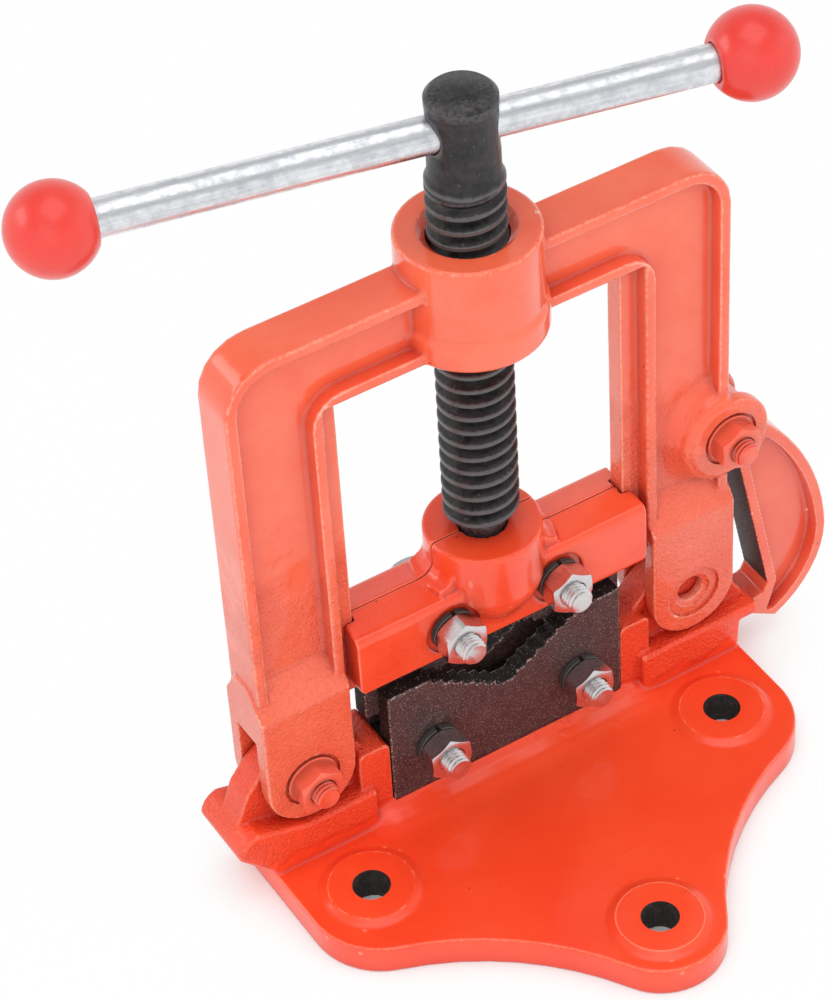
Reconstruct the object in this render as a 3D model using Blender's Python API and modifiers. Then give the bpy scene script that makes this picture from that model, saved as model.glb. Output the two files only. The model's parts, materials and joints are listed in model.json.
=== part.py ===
# Pipe vise with a hinged yoke, a split jaw carriage and a swing latch.
# Metres, +Z up. X runs from the hinge (left) to the latch (right), and -Y is the front.
# The origin is at the underside of the foot, in the yoke's middle plane, below the screw.
from math import acos, asin, atan2, ceil, cos, degrees, pi, radians, sin, sqrt, tan

import bmesh
import bpy
from mathutils import Matrix, Vector

# Clearances and shared values
seat_gap = 0.0003
overrun = 0.004
edge_break = 0.0008
cast_round = 0.0018
round_steps = 28
knob_steps = 18
small_round_steps = 16
thread_steps = 14
fillet_steps = 5

# Standard fasteners
jaw_screw_diameter = 0.008
jaw_screw_play = 0.0006
jaw_hex = 0.013
jaw_nut_height = 0.0065
jaw_head_height = 0.0053
jaw_screw_end = 0.0045
spring_washer_diameter = 0.0138
spring_washer_height = 0.0020
spring_washer_slit = 0.0012
pivot_bolt_diameter = 0.008
pivot_bolt_play = 0.0005
pivot_hex = 0.013
pivot_nut_height = 0.0065
pivot_head_height = 0.0053
pivot_bolt_end = 0.0035
pivot_seat_margin = 0.0015
hex_chamfer_angle = 30
nut_seat_margin = 0.0010

# Yoke
yoke_half_width = 0.0803
yoke_top = 0.1965
yoke_depth = 0.0158
leg_width = 0.0288
crossbar_height = 0.0245
yoke_corner_radius = 0.015
window_corner_radius = 0.0095
rim_wall = 0.0035
web_thickness = 0.0062
recess_end = 0.080
cheek_top = 0.070
rail_reach = 0.0057
rail_half_depth = 0.0032
rail_bottom = 0.060
boss_radius = 0.0203
boss_rise = 0.009
boss_lip_radius = 0.0209
boss_lip_height = 0.009
boss_lip_step = 0.0012
boss_countersink = 0.0022
fork_width = 0.029
fork_half_depth = 0.0102
fork_slot_half = 0.0052
fork_slot_height = 0.0195
pivot_inset = 0.0138
pivot_z = 0.040
open_fork_hole = 0.012
seat_depth = 0.0010

# Latch ears on the yoke, and the latch hook
latch_inset = 0.0013
latch_pivot_z = 0.096
ear_radius = 0.0135
ear_thickness = 0.0052
ear_root_radius = 0.020
knuckle_radius = 0.0115
knuckle_half = 0.0050
knuckle_pocket_clearance = 0.0012
hook_reach = 0.036
hook_length = 0.0886
hook_half_depth = 0.0064
hook_recess = 0.0043
hook_rim = 0.0033
hook_rest_tilt = 2.7
# Points of the hook as shares of its reach outwards and of its length below the pivot
flat_top_shares = (0.160, 0.215)
flat_bottom_shares = (0.394, 0.821)
throat_shares = (0.343, 0.859)
toe_top_shares = (0.194, 0.864)
toe_bottom_shares = (0.210, 0.931)
toe_corner_shares = (0.245, 0.985)
toe_belly_shares = (0.460, 1.000)
lower_back_shares = (0.826, 0.881)
back_shares = (1.000, 0.615)
upper_back_shares = (0.850, 0.350)
shoulder_shares = (0.417, 0.062)

# Foot of the base
foot_thickness = 0.010
foot_margin = 0.0019
foot_rear = 0.014
foot_rear_radius = 0.006
corner_lobe_y = -0.0335
corner_lobe_radius = 0.0227
front_lobe_radius = 0.0193
waist_radius = 0.095
mount_hole = 0.011
mount_hole_inset = 0.0204
mount_hole_y = -0.0313
front_hole_y = -0.0879
pad_foot = 0.030
pad_top = 0.0255
pad_height = 0.0012

# Pedestal of the base
pedestal_half_depth = 0.0093
pedestal_flare = 0.003
leg_clearance = 0.0007
shoulder_width = 0.0105
shoulder_top = 0.038
ledge_height = 0.0035
wall_half = 0.0032
wall_top = 0.035
block_half_depth = 0.012
block_clearance = 0.0011
lug_clearance = 0.0003
lug_radius = 0.0132
heel_reach = 0.0268
heel_nose = 0.0069
heel_top_drop = 0.0104
heel_rise_start = 0.003
tip_root_height = 0.001
# Points of the heel's ramp as shares of its reach, outwards and upwards from the pivot
heel_ramp_shares = ((0.534, 0.190), (0.720, -0.045), (0.802, -0.261), (0.914, -0.522))
horn_ramp_drop = 0.0035
horn_thickness = 0.0044
horn_gap = 0.0009
horn_tip_clearance = 0.0005
horn_root_reach = 0.0005

# Lower jaw plates
jaw_plate_top = 0.056
jaw_plate_thickness = 0.006
jaw_bolt_inset = 0.015
jaw_bolt_z = 0.030
vee_half_width = 0.025
vee_depth = 0.0155
teeth_each_side = 7

# Carriage halves and the upper jaw
carriage_bottom = 0.0643
carriage_height = 0.0232
carriage_outer = 0.011
carriage_slope = 0.0022
carriage_end_gap = 0.0025
carriage_corner = 0.0025
carriage_parting = 0.0003
rail_clearance = 0.0004
rail_end_clearance = 0.0006
hub_radius = 0.0172
hub_rise = 0.011
hub_outer = 0.0165
hub_taper_start = 0.0157
hub_taper_end = 0.0037
hub_foot_radius = 0.0112
hub_fillet = 0.0045
upper_jaw_thickness = 0.006
upper_jaw_drop = 0.0193
upper_jaw_hold = 0.0162
upper_jaw_rail_gap = 0.0018
carriage_bolt_x = 0.018
carriage_bolt_rise = 0.0097

# Clamp screw
screw_diameter = 0.022
screw_play = 0.0004
thread_start_gap = 0.0055
thread_stand = 0.0265
thread_pitch = 0.005
thread_depth = 0.00275
thread_run_out = 0.0045
thread_crest_share = 0.36
thread_root_share = 0.34
screw_head_diameter = 0.0198
screw_head_height = 0.027
screw_step = 0.0010
screw_head_chamfer = 0.0014
screw_neck_diameter = 0.014
screw_collar_diameter = 0.020
screw_collar_height = 0.0075
swivel_floor = 0.004
swivel_clearance = 0.0004

# Tommy bar and its knobs
bar_diameter = 0.0105
bar_play = 0.0004
bar_drop = 0.0115
bar_turn = -12.9
bar_left = 0.1094
bar_right = 0.0806
knob_diameter = 0.0256
knob_mouth_share = 0.84
knob_socket_depth = 0.010

# Places that follow from the sizes above
leg_inner = yoke_half_width - leg_width
window_top = yoke_top - crossbar_height
rail_inner = leg_inner - rail_reach
boss_top = yoke_top + boss_rise
pivot_x = yoke_half_width - pivot_inset
fork_slot_roof = pivot_z + fork_slot_height
fork_outer = pivot_x + fork_width / 2
latch_pivot_x = yoke_half_width - latch_inset
ear_gap_half = knuckle_half + seat_gap
ear_face = ear_gap_half + ear_thickness
foot_half_width = yoke_half_width + foot_margin
corner_lobe_x = foot_half_width - corner_lobe_radius
mount_hole_x = foot_half_width - mount_hole_inset
shoulder_end = leg_inner - leg_clearance
jaw_plate_half = shoulder_end - shoulder_width - seat_gap
ledge_top = foot_thickness + ledge_height
block_top = pivot_z - fork_width / 2 - block_clearance
jaw_plate_inner = wall_half + seat_gap
jaw_plate_outer = jaw_plate_inner + jaw_plate_thickness
jaw_bolt_x = jaw_plate_half - jaw_bolt_inset
jaw_screw_hole = jaw_screw_diameter + jaw_screw_play
pivot_hole = pivot_bolt_diameter + pivot_bolt_play
carriage_half_width = leg_inner - carriage_end_gap
carriage_top = carriage_bottom + carriage_height
hub_top = carriage_top + hub_rise
upper_jaw_half = rail_inner - upper_jaw_rail_gap
upper_jaw_bottom = carriage_bottom - upper_jaw_drop
upper_jaw_top = carriage_bottom + upper_jaw_hold
carriage_bolt_z = carriage_bottom + carriage_bolt_rise
collar_bottom = upper_jaw_top + swivel_floor
collar_top = collar_bottom + screw_collar_height
thread_bottom = hub_top + thread_start_gap
thread_top = yoke_top + thread_stand
screw_head_top = thread_top + screw_head_height
bar_z = screw_head_top - bar_drop

left, right = ("left", -1), ("right", 1)
front, rear = ("front", -1), ("rear", 1)

for old in list(bpy.data.objects):
    bpy.data.objects.remove(old, do_unlink=True)

vise = bpy.data.collections.new("pipe_vise")
cutters = bpy.data.collections.new("cutters")
bpy.context.scene.collection.children.link(vise)
bpy.context.scene.collection.children.link(cutters)


def make_material(name, color, metallic, roughness):
    material = bpy.data.materials.new(name)
    material.use_nodes = True
    shader = material.node_tree.nodes["Principled BSDF"]
    shader.inputs["Base Color"].default_value = (*color, 1)
    shader.inputs["Metallic"].default_value = metallic
    shader.inputs["Roughness"].default_value = roughness
    return material


yoke_paint = make_material("yoke_paint", (0.86, 0.13, 0.07), 0, 0.35)
base_paint = make_material("base_paint", (0.86, 0.06, 0.025), 0, 0.35)
black_steel = make_material("black_steel", (0.03, 0.03, 0.032), 0.8, 0.4)
jaw_steel = make_material("jaw_steel", (0.05, 0.035, 0.033), 0.7, 0.5)
bright_zinc = make_material("bright_zinc", (0.7, 0.71, 0.72), 1, 0.3)
red_plastic = make_material("red_plastic", (0.78, 0.03, 0.03), 0, 0.25)


def arc(centre, radius, start, end, steps=fillet_steps):
    points = []
    for step in range(steps + 1):
        angle = radians(start + (end - start) * step / steps)
        points.append((centre[0] + radius * cos(angle), centre[1] + radius * sin(angle)))
    return points


def bearing(centre, point):
    return degrees(atan2(point[1] - centre[1], point[0] - centre[0]))


def arc_through(first, middle, last, steps):
    # The circle through three points, from the first to the last past the middle one
    a, b, c = Vector(first), Vector(middle), Vector(last)
    span = 2 * (b - a).cross(c - a)
    to_b, to_c = (b - a).length_squared, (c - a).length_squared
    offset = Vector((
        ((c - a).y * to_b - (b - a).y * to_c) / span,
        ((b - a).x * to_c - (c - a).x * to_b) / span,
    ))
    centre = a + offset
    start, through, end = (bearing(centre, point) for point in (a, b, c))
    sweep = (end - start) % 360
    if (through - start) % 360 > sweep:
        sweep -= 360
    return arc(centre, offset.length, start, start + sweep, steps)


def rounded(corners, radii, steps=fillet_steps):
    # A polygon with each corner rounded by its own radius
    points = []
    for index, (corner, radius) in enumerate(zip(corners, radii)):
        if radius == 0:
            points.append(corner)
            continue
        here = Vector(corner)
        to_last = (Vector(corners[index - 1]) - here).normalized()
        to_next = (Vector(corners[(index + 1) % len(corners)]) - here).normalized()
        half = acos(to_last.dot(to_next)) / 2
        centre = here + (to_last + to_next).normalized() * radius / sin(half)
        start = bearing(centre, here + to_last * radius / tan(half))
        end = bearing(centre, here + to_next * radius / tan(half))
        sweep = (end - start + 180) % 360 - 180
        points += arc(centre, radius, start, start + sweep, steps)
    return points


def mirrored(points):
    return [(-x, z) for x, z in reversed(points)]


def on_side(sign, points):
    return [(sign * x, z) for x, z in points]


def drawn_in(points, distance):
    # Moves every side of a convex outline inwards and meets the sides again
    area = sum(a[0] * b[1] - b[0] * a[1] for a, b in zip(points, points[1:] + points[:1]))
    turn = 1 if area > 0 else -1
    count = len(points)
    moved = []
    for index in range(count):
        last, here, after = (Vector(points[(index + step) % count]) for step in (-1, 0, 1))
        before_side = (here - last).normalized()
        after_side = (after - here).normalized()
        before_in = Vector((-before_side.y, before_side.x)) * turn
        after_in = Vector((-after_side.y, after_side.x)) * turn
        lean = (before_in + after_in).normalized()
        moved.append(tuple(here + lean * distance / lean.dot(after_in)))
    return moved


def new_object(name, mesh, collection):
    obj = bpy.data.objects.new(name, mesh)
    collection.objects.link(obj)
    if collection is cutters:
        obj.hide_render = True
        obj.display_type = "WIRE"
    return obj


def finish(obj, material, joint=None):
    # Colours a piece, shades it and parents it to its joint where it has one
    obj.data.materials.clear()
    obj.data.materials.append(material)
    obj.data.shade_smooth()
    obj.data.set_sharp_from_angle(angle=radians(32))
    if joint:
        placed = obj.matrix_world.copy()
        obj.parent = joint
        obj.matrix_parent_inverse = Matrix.Translation(-world_place(joint))
        obj.matrix_world = placed
    return obj


def solid_mesh(guide):
    # The evaluated curve as a mesh with its caps welded on
    graph = bpy.context.evaluated_depsgraph_get()
    mesh = bpy.data.meshes.new_from_object(guide.evaluated_get(graph))
    shell = bmesh.new()
    shell.from_mesh(mesh)
    bmesh.ops.remove_doubles(shell, verts=shell.verts, dist=seat_gap / 100)
    bmesh.ops.recalc_face_normals(shell, faces=shell.faces)
    shell.to_mesh(mesh)
    shell.free()
    return mesh


def plate(name, outline, low, high, plane="XZ", bevel=0, segments=1, collection=cutters):
    # A flat outline between two levels: plane XZ along Y, plane XY along Z, plane YZ along X
    curve = bpy.data.curves.new(name, "CURVE")
    curve.dimensions = "2D"
    curve.fill_mode = "BOTH"
    curve.extrude = abs(high - low) / 2
    spline = curve.splines.new("POLY")
    spline.points.add(len(outline) - 1)
    spline.use_cyclic_u = True
    for point, (u, v) in zip(spline.points, outline):
        point.co = (u, v, 0, 1)
    guide = new_object(name + "_curve", curve, cutters)
    middle = (low + high) / 2
    stand = Matrix.Rotation(pi / 2, 4, "X")
    if plane == "XZ":
        place = Matrix.Translation((0, middle, 0)) @ stand
    elif plane == "YZ":
        place = Matrix.Translation((middle, 0, 0)) @ Matrix.Rotation(pi / 2, 4, "Z") @ stand
    else:
        place = Matrix.Translation((0, 0, middle))
    obj = new_object(name, solid_mesh(guide), collection)
    bpy.data.objects.remove(guide)
    obj.matrix_world = place
    if bevel:
        soften = obj.modifiers.new("soften", "BEVEL")
        soften.width = bevel
        soften.segments = segments
        soften.limit_method = "ANGLE"
        soften.angle_limit = radians(40)
    return obj


def turned(name, profile, centre=(0, 0, 0), axis="Z", steps=round_steps, collection=cutters):
    # The profile's (radius, height) pairs run down the outer side. Axis Y counts towards the front.
    mesh = bpy.data.meshes.new(name)
    shell = bmesh.new()
    verts = [shell.verts.new((radius, 0, height)) for radius, height in profile]
    for upper, lower in zip(verts, verts[1:]):
        shell.edges.new((upper, lower))
    shell.to_mesh(mesh)
    shell.free()
    obj = new_object(name, mesh, collection)
    spin = obj.modifiers.new("turn", "SCREW")
    spin.steps = steps
    spin.render_steps = steps
    spin.use_merge_vertices = True
    spin.merge_threshold = seat_gap / 100
    turn = Matrix.Rotation(pi / 2, 4, "X") if axis == "Y" else Matrix.Identity(4)
    obj.matrix_world = Matrix.Translation(centre) @ turn
    return obj


def rod(name, radius, low, high, centre=(0, 0, 0), axis="Z", steps=small_round_steps, collection=cutters):
    low, high = sorted((low, high))
    profile = [(0, high), (radius, high), (radius, low), (0, low)]
    return turned(name, profile, centre, axis, steps, collection)


def box(name, low, high, collection=cutters):
    mesh = bpy.data.meshes.new(name)
    shell = bmesh.new()
    low, high = Vector(low), Vector(high)
    bmesh.ops.create_cube(shell, size=1)
    bmesh.ops.scale(shell, vec=high - low, verts=shell.verts)
    bmesh.ops.translate(shell, vec=(high + low) / 2, verts=shell.verts)
    shell.to_mesh(mesh)
    shell.free()
    return new_object(name, mesh, collection)


def combine(obj, operation, others):
    # The castings are built from shapes that meet face to face, which the exact solver leaves open
    for other in others:
        boolean = obj.modifiers.new(operation.lower(), "BOOLEAN")
        boolean.operation = operation
        boolean.object = other
        boolean.solver = "MANIFOLD"
    return obj


def join(obj, *others):
    return combine(obj, "UNION", others)


def cut(obj, *others):
    return combine(obj, "DIFFERENCE", others)


def keep(obj, *others):
    return combine(obj, "INTERSECT", others)


def world_place(obj):
    place = Vector(obj.location)
    while obj.parent:
        obj = obj.parent
        place += obj.location
    return place


def joint_empty(name, place, parent=None):
    joint = bpy.data.objects.new(name, None)
    joint.empty_display_size = foot_thickness
    vise.objects.link(joint)
    joint.location = Vector(place)
    if parent:
        joint.location -= world_place(parent)
        joint.parent = parent
    return joint


hinge_joint = joint_empty("hinge_joint", (-pivot_x, 0, pivot_z))
latch_joint = joint_empty("latch_joint", (latch_pivot_x, 0, latch_pivot_z), hinge_joint)
carriage_joint = joint_empty("carriage_joint", (0, 0, carriage_bottom), hinge_joint)
screw_joint = joint_empty("screw_joint", (0, 0, collar_bottom), carriage_joint)
bar_joint = joint_empty("bar_joint", (0, 0, bar_z), screw_joint)


def hook_point(shares):
    return (hook_reach * shares[0], -hook_length * shares[1])


def at_rest(points):
    # Turns the hook's own outline out to its rest place beside the yoke
    tilt = Matrix.Rotation(radians(hook_rest_tilt), 2)
    pivot = Vector((latch_pivot_x, latch_pivot_z))
    return [tuple(pivot + tilt @ Vector(point)) for point in points]


def foot_holes():
    return (
        ("left", -mount_hole_x, mount_hole_y),
        ("right", mount_hole_x, mount_hole_y),
        ("front", 0, front_hole_y),
    )


def waist_centre():
    # The hollow curve between the corner lobe and the front lobe touches both of them
    corner = Vector((corner_lobe_x, corner_lobe_y))
    nose = Vector((0, front_hole_y))
    to_corner = waist_radius + corner_lobe_radius
    to_nose = waist_radius + front_lobe_radius
    apart = (nose - corner).length
    along = (to_corner**2 - to_nose**2 + apart**2) / (2 * apart)
    line = (nose - corner).normalized()
    return corner + line * along + Vector((-line.y, line.x)) * sqrt(to_corner**2 - along**2)


def foot_outline():
    centre = waist_centre()
    corner = (corner_lobe_x, corner_lobe_y)
    nose = (0, front_hole_y)
    rear_corner = (foot_half_width - foot_rear_radius, foot_rear - foot_rear_radius)
    half = arc(rear_corner, foot_rear_radius, 90, 0)
    half += arc(corner, corner_lobe_radius, 0, bearing(corner, centre), 9)
    waist = arc(centre, waist_radius, bearing(centre, corner), bearing(centre, nose) % 360, 8)
    half += waist[1:-1]
    half += arc(nose, front_lobe_radius, bearing(nose, centre), -90, 7)
    return half + mirrored(half)[1:]


def heel():
    # The mound that stops the opened yoke, as the tops of its block and of its lug
    nose = (pivot_x + heel_reach - heel_nose, pivot_z - heel_top_drop - heel_nose)
    block = [*arc(nose, heel_nose, 0, 90), (pivot_x + heel_rise_start, block_top)]
    ramp = [
        (pivot_x + heel_reach * out, pivot_z + heel_reach * up) for out, up in heel_ramp_shares
    ]
    return block, [*ramp, nose]


def horn():
    # The catch that the latch hook's toe lies under, as the tops of its block and of its lug
    toe_top = at_rest([hook_point(toe_top_shares)])[0]
    under = latch_pivot_z - hook_length * toe_top_shares[1] + horn_gap
    tip = toe_top[0] - horn_tip_clearance
    top = under + horn_thickness
    block = [
        (foot_half_width + horn_root_reach, under), (tip, under), (tip, top),
        (fork_outer, block_top),
    ]
    ramp = [(fork_outer, pivot_z - horn_ramp_drop), (tip - edge_break, top - edge_break)]
    return block, ramp


def end_block(side, sign, tops):
    # The block under one fork, which runs out into the heel or the horn
    root = shoulder_end - overrun
    sunk = foot_thickness / 2
    block = on_side(sign, [
        (root, sunk), (foot_half_width - sunk, sunk),
        (foot_half_width, foot_thickness + tip_root_height), *tops, (root, block_top),
    ])
    half = block_half_depth
    return plate("block_" + side, block, -half, half, bevel=edge_break)


def pivot_lug(side, sign, ramp):
    # The lug stands in the fork's slot, and its back slopes down to the tip
    root = shoulder_end - overrun
    lug = [
        (root, shoulder_top), *arc((pivot_x, pivot_z), lug_radius, 150, 44, 8), *ramp,
        (fork_outer, block_top - cast_round), (root, ledge_top),
    ]
    half = fork_slot_half - lug_clearance
    return plate("lug_" + side, on_side(sign, lug), -half, half)


def base_casting():
    outline = foot_outline()
    base = plate("base_casting", outline, 0, foot_thickness, "XY", cast_round, 2, vise)
    depth = pedestal_half_depth
    sunk = foot_thickness / 2
    flare = pedestal_flare
    skirt = [
        (-depth - flare, sunk), (depth + flare, sunk), (depth + flare, foot_thickness),
        (depth, foot_thickness + flare), (-depth, foot_thickness + flare),
        (-depth - flare, foot_thickness),
    ]
    skirt_end = foot_half_width - cast_round
    wall_end = shoulder_end - overrun
    join(
        base,
        plate("skirt", skirt, -skirt_end, skirt_end, "YZ"),
        box("ledge", (-shoulder_end, -depth, sunk), (shoulder_end, depth, ledge_top)),
        box("wall", (-wall_end, -wall_half, sunk), (wall_end, wall_half, wall_top)),
    )
    for (side, sign), (block_line, ramp) in zip((left, right), (heel(), horn())):
        inner, outer = jaw_plate_half + seat_gap, shoulder_end
        shoulder = rounded(
            [(inner, sunk), (outer, sunk), (outer, shoulder_top), (inner, shoulder_top)],
            [0, 0, cast_round, cast_round], 3,
        )
        block = plate("shoulder_" + side, on_side(sign, shoulder), -depth, depth, bevel=edge_break)
        join(base, block, end_block(side, sign, block_line), pivot_lug(side, sign, ramp))
    pad_face = foot_thickness + pad_height
    for name, x, y in foot_holes():
        profile = [
            (0, pad_face), (pad_top / 2, pad_face), (pad_foot / 2, foot_thickness),
            (pad_foot / 2, sunk), (0, sunk),
        ]
        join(base, turned("pad_" + name, profile, (x, y, 0)))
        cut(base, rod("hole_" + name, mount_hole / 2, -overrun, pad_face + overrun, (x, y, 0)))
    reach = wall_half + overrun
    for side, sign in (left, right):
        place = (sign * jaw_bolt_x, 0, jaw_bolt_z)
        cut(base, rod("jaw_bolt_way_" + side, jaw_screw_hole / 2, -reach, reach, place, "Y"))
    hinge = (-pivot_x, 0, pivot_z)
    cut(base, rod("hinge_way", pivot_hole / 2, -fork_half_depth, fork_half_depth, hinge, "Y"))
    return finish(base, base_paint)


def jaw_outline(half_width, biting_z, depth, plain_z):
    # A plate with a V of stepped teeth in its biting edge. A negative depth opens downwards.
    run = vee_half_width / teeth_each_side
    rise = depth / teeth_each_side
    outline = [(half_width, plain_z), (half_width, biting_z)]
    for tooth in range(teeth_each_side):
        x = vee_half_width - run * tooth
        outline.append((x, biting_z - rise * tooth))
        outline.append((x, biting_z - rise * (tooth + 1)))
    return outline + mirrored(outline)


def lower_jaw(side, sign):
    outline = jaw_outline(jaw_plate_half, jaw_plate_top, vee_depth, ledge_top + seat_gap)
    low, high = sorted((sign * jaw_plate_inner, sign * jaw_plate_outer))
    jaw = plate("lower_jaw_" + side, outline, low, high, collection=vise)
    reach = jaw_plate_outer + overrun
    for end, end_sign in (left, right):
        place = (end_sign * jaw_bolt_x, 0, jaw_bolt_z)
        way = rod(f"lower_jaw_{side}_{end}_way", jaw_screw_hole / 2, -reach, reach, place, "Y")
        cut(jaw, way)
    return finish(jaw, jaw_steel)


def upper_jaw():
    outline = jaw_outline(upper_jaw_half, upper_jaw_bottom, -vee_depth, upper_jaw_top)
    half = upper_jaw_thickness / 2
    jaw = plate("upper_jaw", outline, -half, half, collection=vise)
    reach = half + overrun
    for end, end_sign in (left, right):
        place = (end_sign * carriage_bolt_x, 0, carriage_bolt_z)
        way = rod("upper_jaw_way_" + end, jaw_screw_hole / 2, -reach, reach, place, "Y")
        cut(jaw, way)
    return finish(jaw, jaw_steel, carriage_joint)


def arch_outline(inset):
    # The yoke's arch, drawn in by the inset on every side but its feet
    outer = yoke_half_width - inset
    inner = leg_inner + inset
    top = yoke_top - inset
    under = window_top + inset
    foot = cheek_top - rim_wall
    corners = [(outer, top), (outer, foot), (inner, foot), (inner, under)]
    radii = [yoke_corner_radius - inset, 0, 0, window_corner_radius if inset else edge_break]
    return rounded(corners + mirrored(corners), radii + radii[::-1])


def fork(side, sign):
    # One forked foot: round below, and sloped above from the cheeks to the web
    inner = pivot_x - fork_width / 2
    outer = fork_outer
    depth = fork_half_depth
    shape = [(outer, recess_end), (inner, recess_end)]
    shape += arc((pivot_x, pivot_z), fork_width / 2, 180, 360, 14)
    foot = plate("fork_" + side, on_side(sign, shape), -depth, depth, bevel=edge_break)
    web = web_thickness / 2
    low = pivot_z - fork_width / 2 - overrun
    slope = [
        (-depth, low), (depth, low), (depth, cheek_top), (web, recess_end),
        (-web, recess_end), (-depth, cheek_top),
    ]
    ends = sorted((sign * (inner - overrun), sign * (outer + overrun)))
    keep(foot, plate("fork_slope_" + side, slope, *ends, "YZ"))
    slot_low = (ends[0], -fork_slot_half, low - overrun)
    slot_high = (ends[1], fork_slot_half, fork_slot_roof)
    return cut(foot, box("fork_slot_" + side, slot_low, slot_high))


def ear(side, sign):
    # A round ear whose coned root runs into the web. Heights along Y count towards the front.
    place = (latch_pivot_x, 0, latch_pivot_z)
    web = web_thickness / 2 - seat_gap
    shelf = ear_face - cast_round
    cone = [(0, shelf), (ear_radius, shelf), (ear_root_radius, web), (0, web)]
    if sign > 0:
        cone = [(radius, -height) for radius, height in reversed(cone)]
    root = turned("ear_root_" + side, cone, place, "Y", small_round_steps)
    reach = 2 * ear_root_radius
    trim = box(
        "ear_root_trim_" + side,
        (yoke_half_width, -reach, latch_pivot_z - reach),
        (yoke_half_width + reach, reach, latch_pivot_z + reach),
    )
    cut(root, trim)
    low, high = sorted((-sign * ear_gap_half, -sign * ear_face))
    disc = [
        (0, high), (ear_radius - edge_break, high), (ear_radius, high - edge_break),
        (ear_radius, low + edge_break), (ear_radius - edge_break, low), (0, low),
    ]
    return root, turned("ear_" + side, disc, place, "Y")


def screw_boss():
    crease = window_top + boss_lip_height
    profile = [
        (0, boss_top), (boss_radius - edge_break, boss_top),
        (boss_radius, boss_top - edge_break), (boss_radius, crease + boss_lip_step),
        (boss_lip_radius, crease), (boss_lip_radius, window_top + edge_break),
        (boss_lip_radius - edge_break, window_top), (0, window_top),
    ]
    return turned("boss", profile)


def screw_way():
    bore = screw_diameter / 2 + screw_play
    mouth = bore + boss_countersink
    profile = [
        (0, boss_top + overrun), (mouth + overrun, boss_top + overrun),
        (bore, boss_top - boss_countersink), (bore, window_top - overrun),
        (0, window_top - overrun),
    ]
    return turned("screw_way", profile)


def yoke_casting():
    half = yoke_depth / 2
    web = web_thickness / 2
    yoke = plate(
        "yoke_casting", arch_outline(0), -half, half,
        bevel=cast_round, segments=2, collection=vise,
    )
    pocket = arch_outline(rim_wall)
    for side, sign in (front, rear):
        low, high = sorted((sign * web, sign * (half + overrun)))
        cut(yoke, plate(side + "_recess", pocket, low, high, bevel=cast_round))
    for side, sign in (left, right):
        low, high = sorted((sign * rail_inner, sign * (leg_inner + rim_wall)))
        rail = box(
            "rail_" + side,
            (low, -rail_half_depth, rail_bottom),
            (high, rail_half_depth, window_top + rim_wall),
        )
        join(yoke, fork(side, sign), rail)
    join(yoke, screw_boss())
    cut(yoke, screw_way())
    for side, sign in (front, rear):
        join(yoke, *ear(side, sign))
    place = (latch_pivot_x, 0, latch_pivot_z)
    pocket_radius = knuckle_radius + knuckle_pocket_clearance
    way = box(
        "knuckle_way",
        (latch_pivot_x, -ear_gap_half, latch_pivot_z - pocket_radius),
        (latch_pivot_x + ear_root_radius, ear_gap_half, latch_pivot_z + pocket_radius),
    )
    cut(yoke, rod("knuckle_pocket", pocket_radius, -ear_gap_half, ear_gap_half, place, "Y"), way)
    pivots = (
        ("left", -pivot_x, pivot_z, fork_half_depth, pivot_hole),
        ("right", pivot_x, pivot_z, fork_half_depth, open_fork_hole),
        ("latch", latch_pivot_x, latch_pivot_z, ear_face, pivot_hole),
    )
    seat_radius = pivot_hex / sqrt(3) + pivot_seat_margin
    for name, x, z, face, hole in pivots:
        reach = face + overrun
        cut(yoke, rod("pivot_way_" + name, hole / 2, -reach, reach, (x, 0, z), "Y"))
        for side, sign in (front, rear):
            low, high = -sign * (face - seat_depth), -sign * reach
            cut(yoke, rod(f"seat_{name}_{side}", seat_radius, low, high, (x, 0, z), "Y"))
    return finish(yoke, yoke_paint, hinge_joint)


def latch_hook():
    # A D of web and rim with a toe at its foot, hung from a narrow knuckle between the ears
    flat_top, flat_bottom = hook_point(flat_top_shares), hook_point(flat_bottom_shares)
    throat, shoulder = hook_point(throat_shares), hook_point(shoulder_shares)
    toe_top, toe_bottom = hook_point(toe_top_shares), hook_point(toe_bottom_shares)
    corner = hook_point(toe_corner_shares)
    belly, back = hook_point(toe_belly_shares), hook_point(back_shares)
    heel = arc_through(belly, hook_point(lower_back_shares), back, 9)
    spine = arc_through(back, hook_point(upper_back_shares), shoulder, 9)
    body = [flat_top, flat_bottom, corner] + heel[:-1] + spine
    outline = [flat_top, flat_bottom, throat, toe_top, toe_bottom] + heel[:-1] + spine
    half = hook_half_depth
    web = half - hook_recess
    hook = plate("latch_hook", at_rest(outline), -half, half, bevel=edge_break, collection=vise)
    pocket = at_rest(drawn_in(body, hook_rim))
    for side, sign in (front, rear):
        low, high = sorted((sign * web, sign * (half + overrun)))
        cut(hook, plate(f"hook_{side}_recess", pocket, low, high, bevel=edge_break))
    place = (latch_pivot_x, 0, latch_pivot_z)
    neck = pivot_hole / 2 + hook_rim
    bridge = at_rest([
        (shoulder[0], shoulder[1] - hook_rim), (0, neck), (0, -neck),
        (flat_top[0] + hook_rim, flat_top[1] - hook_rim),
    ])
    join(hook, rod("knuckle", knuckle_radius, -knuckle_half, knuckle_half, place, "Y"))
    join(hook, plate("knuckle_bridge", bridge, -knuckle_half, knuckle_half))
    cut(hook, rod("knuckle_way_through", pivot_hole / 2, -half, half, place, "Y"))
    return finish(hook, yoke_paint, latch_joint)


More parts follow.
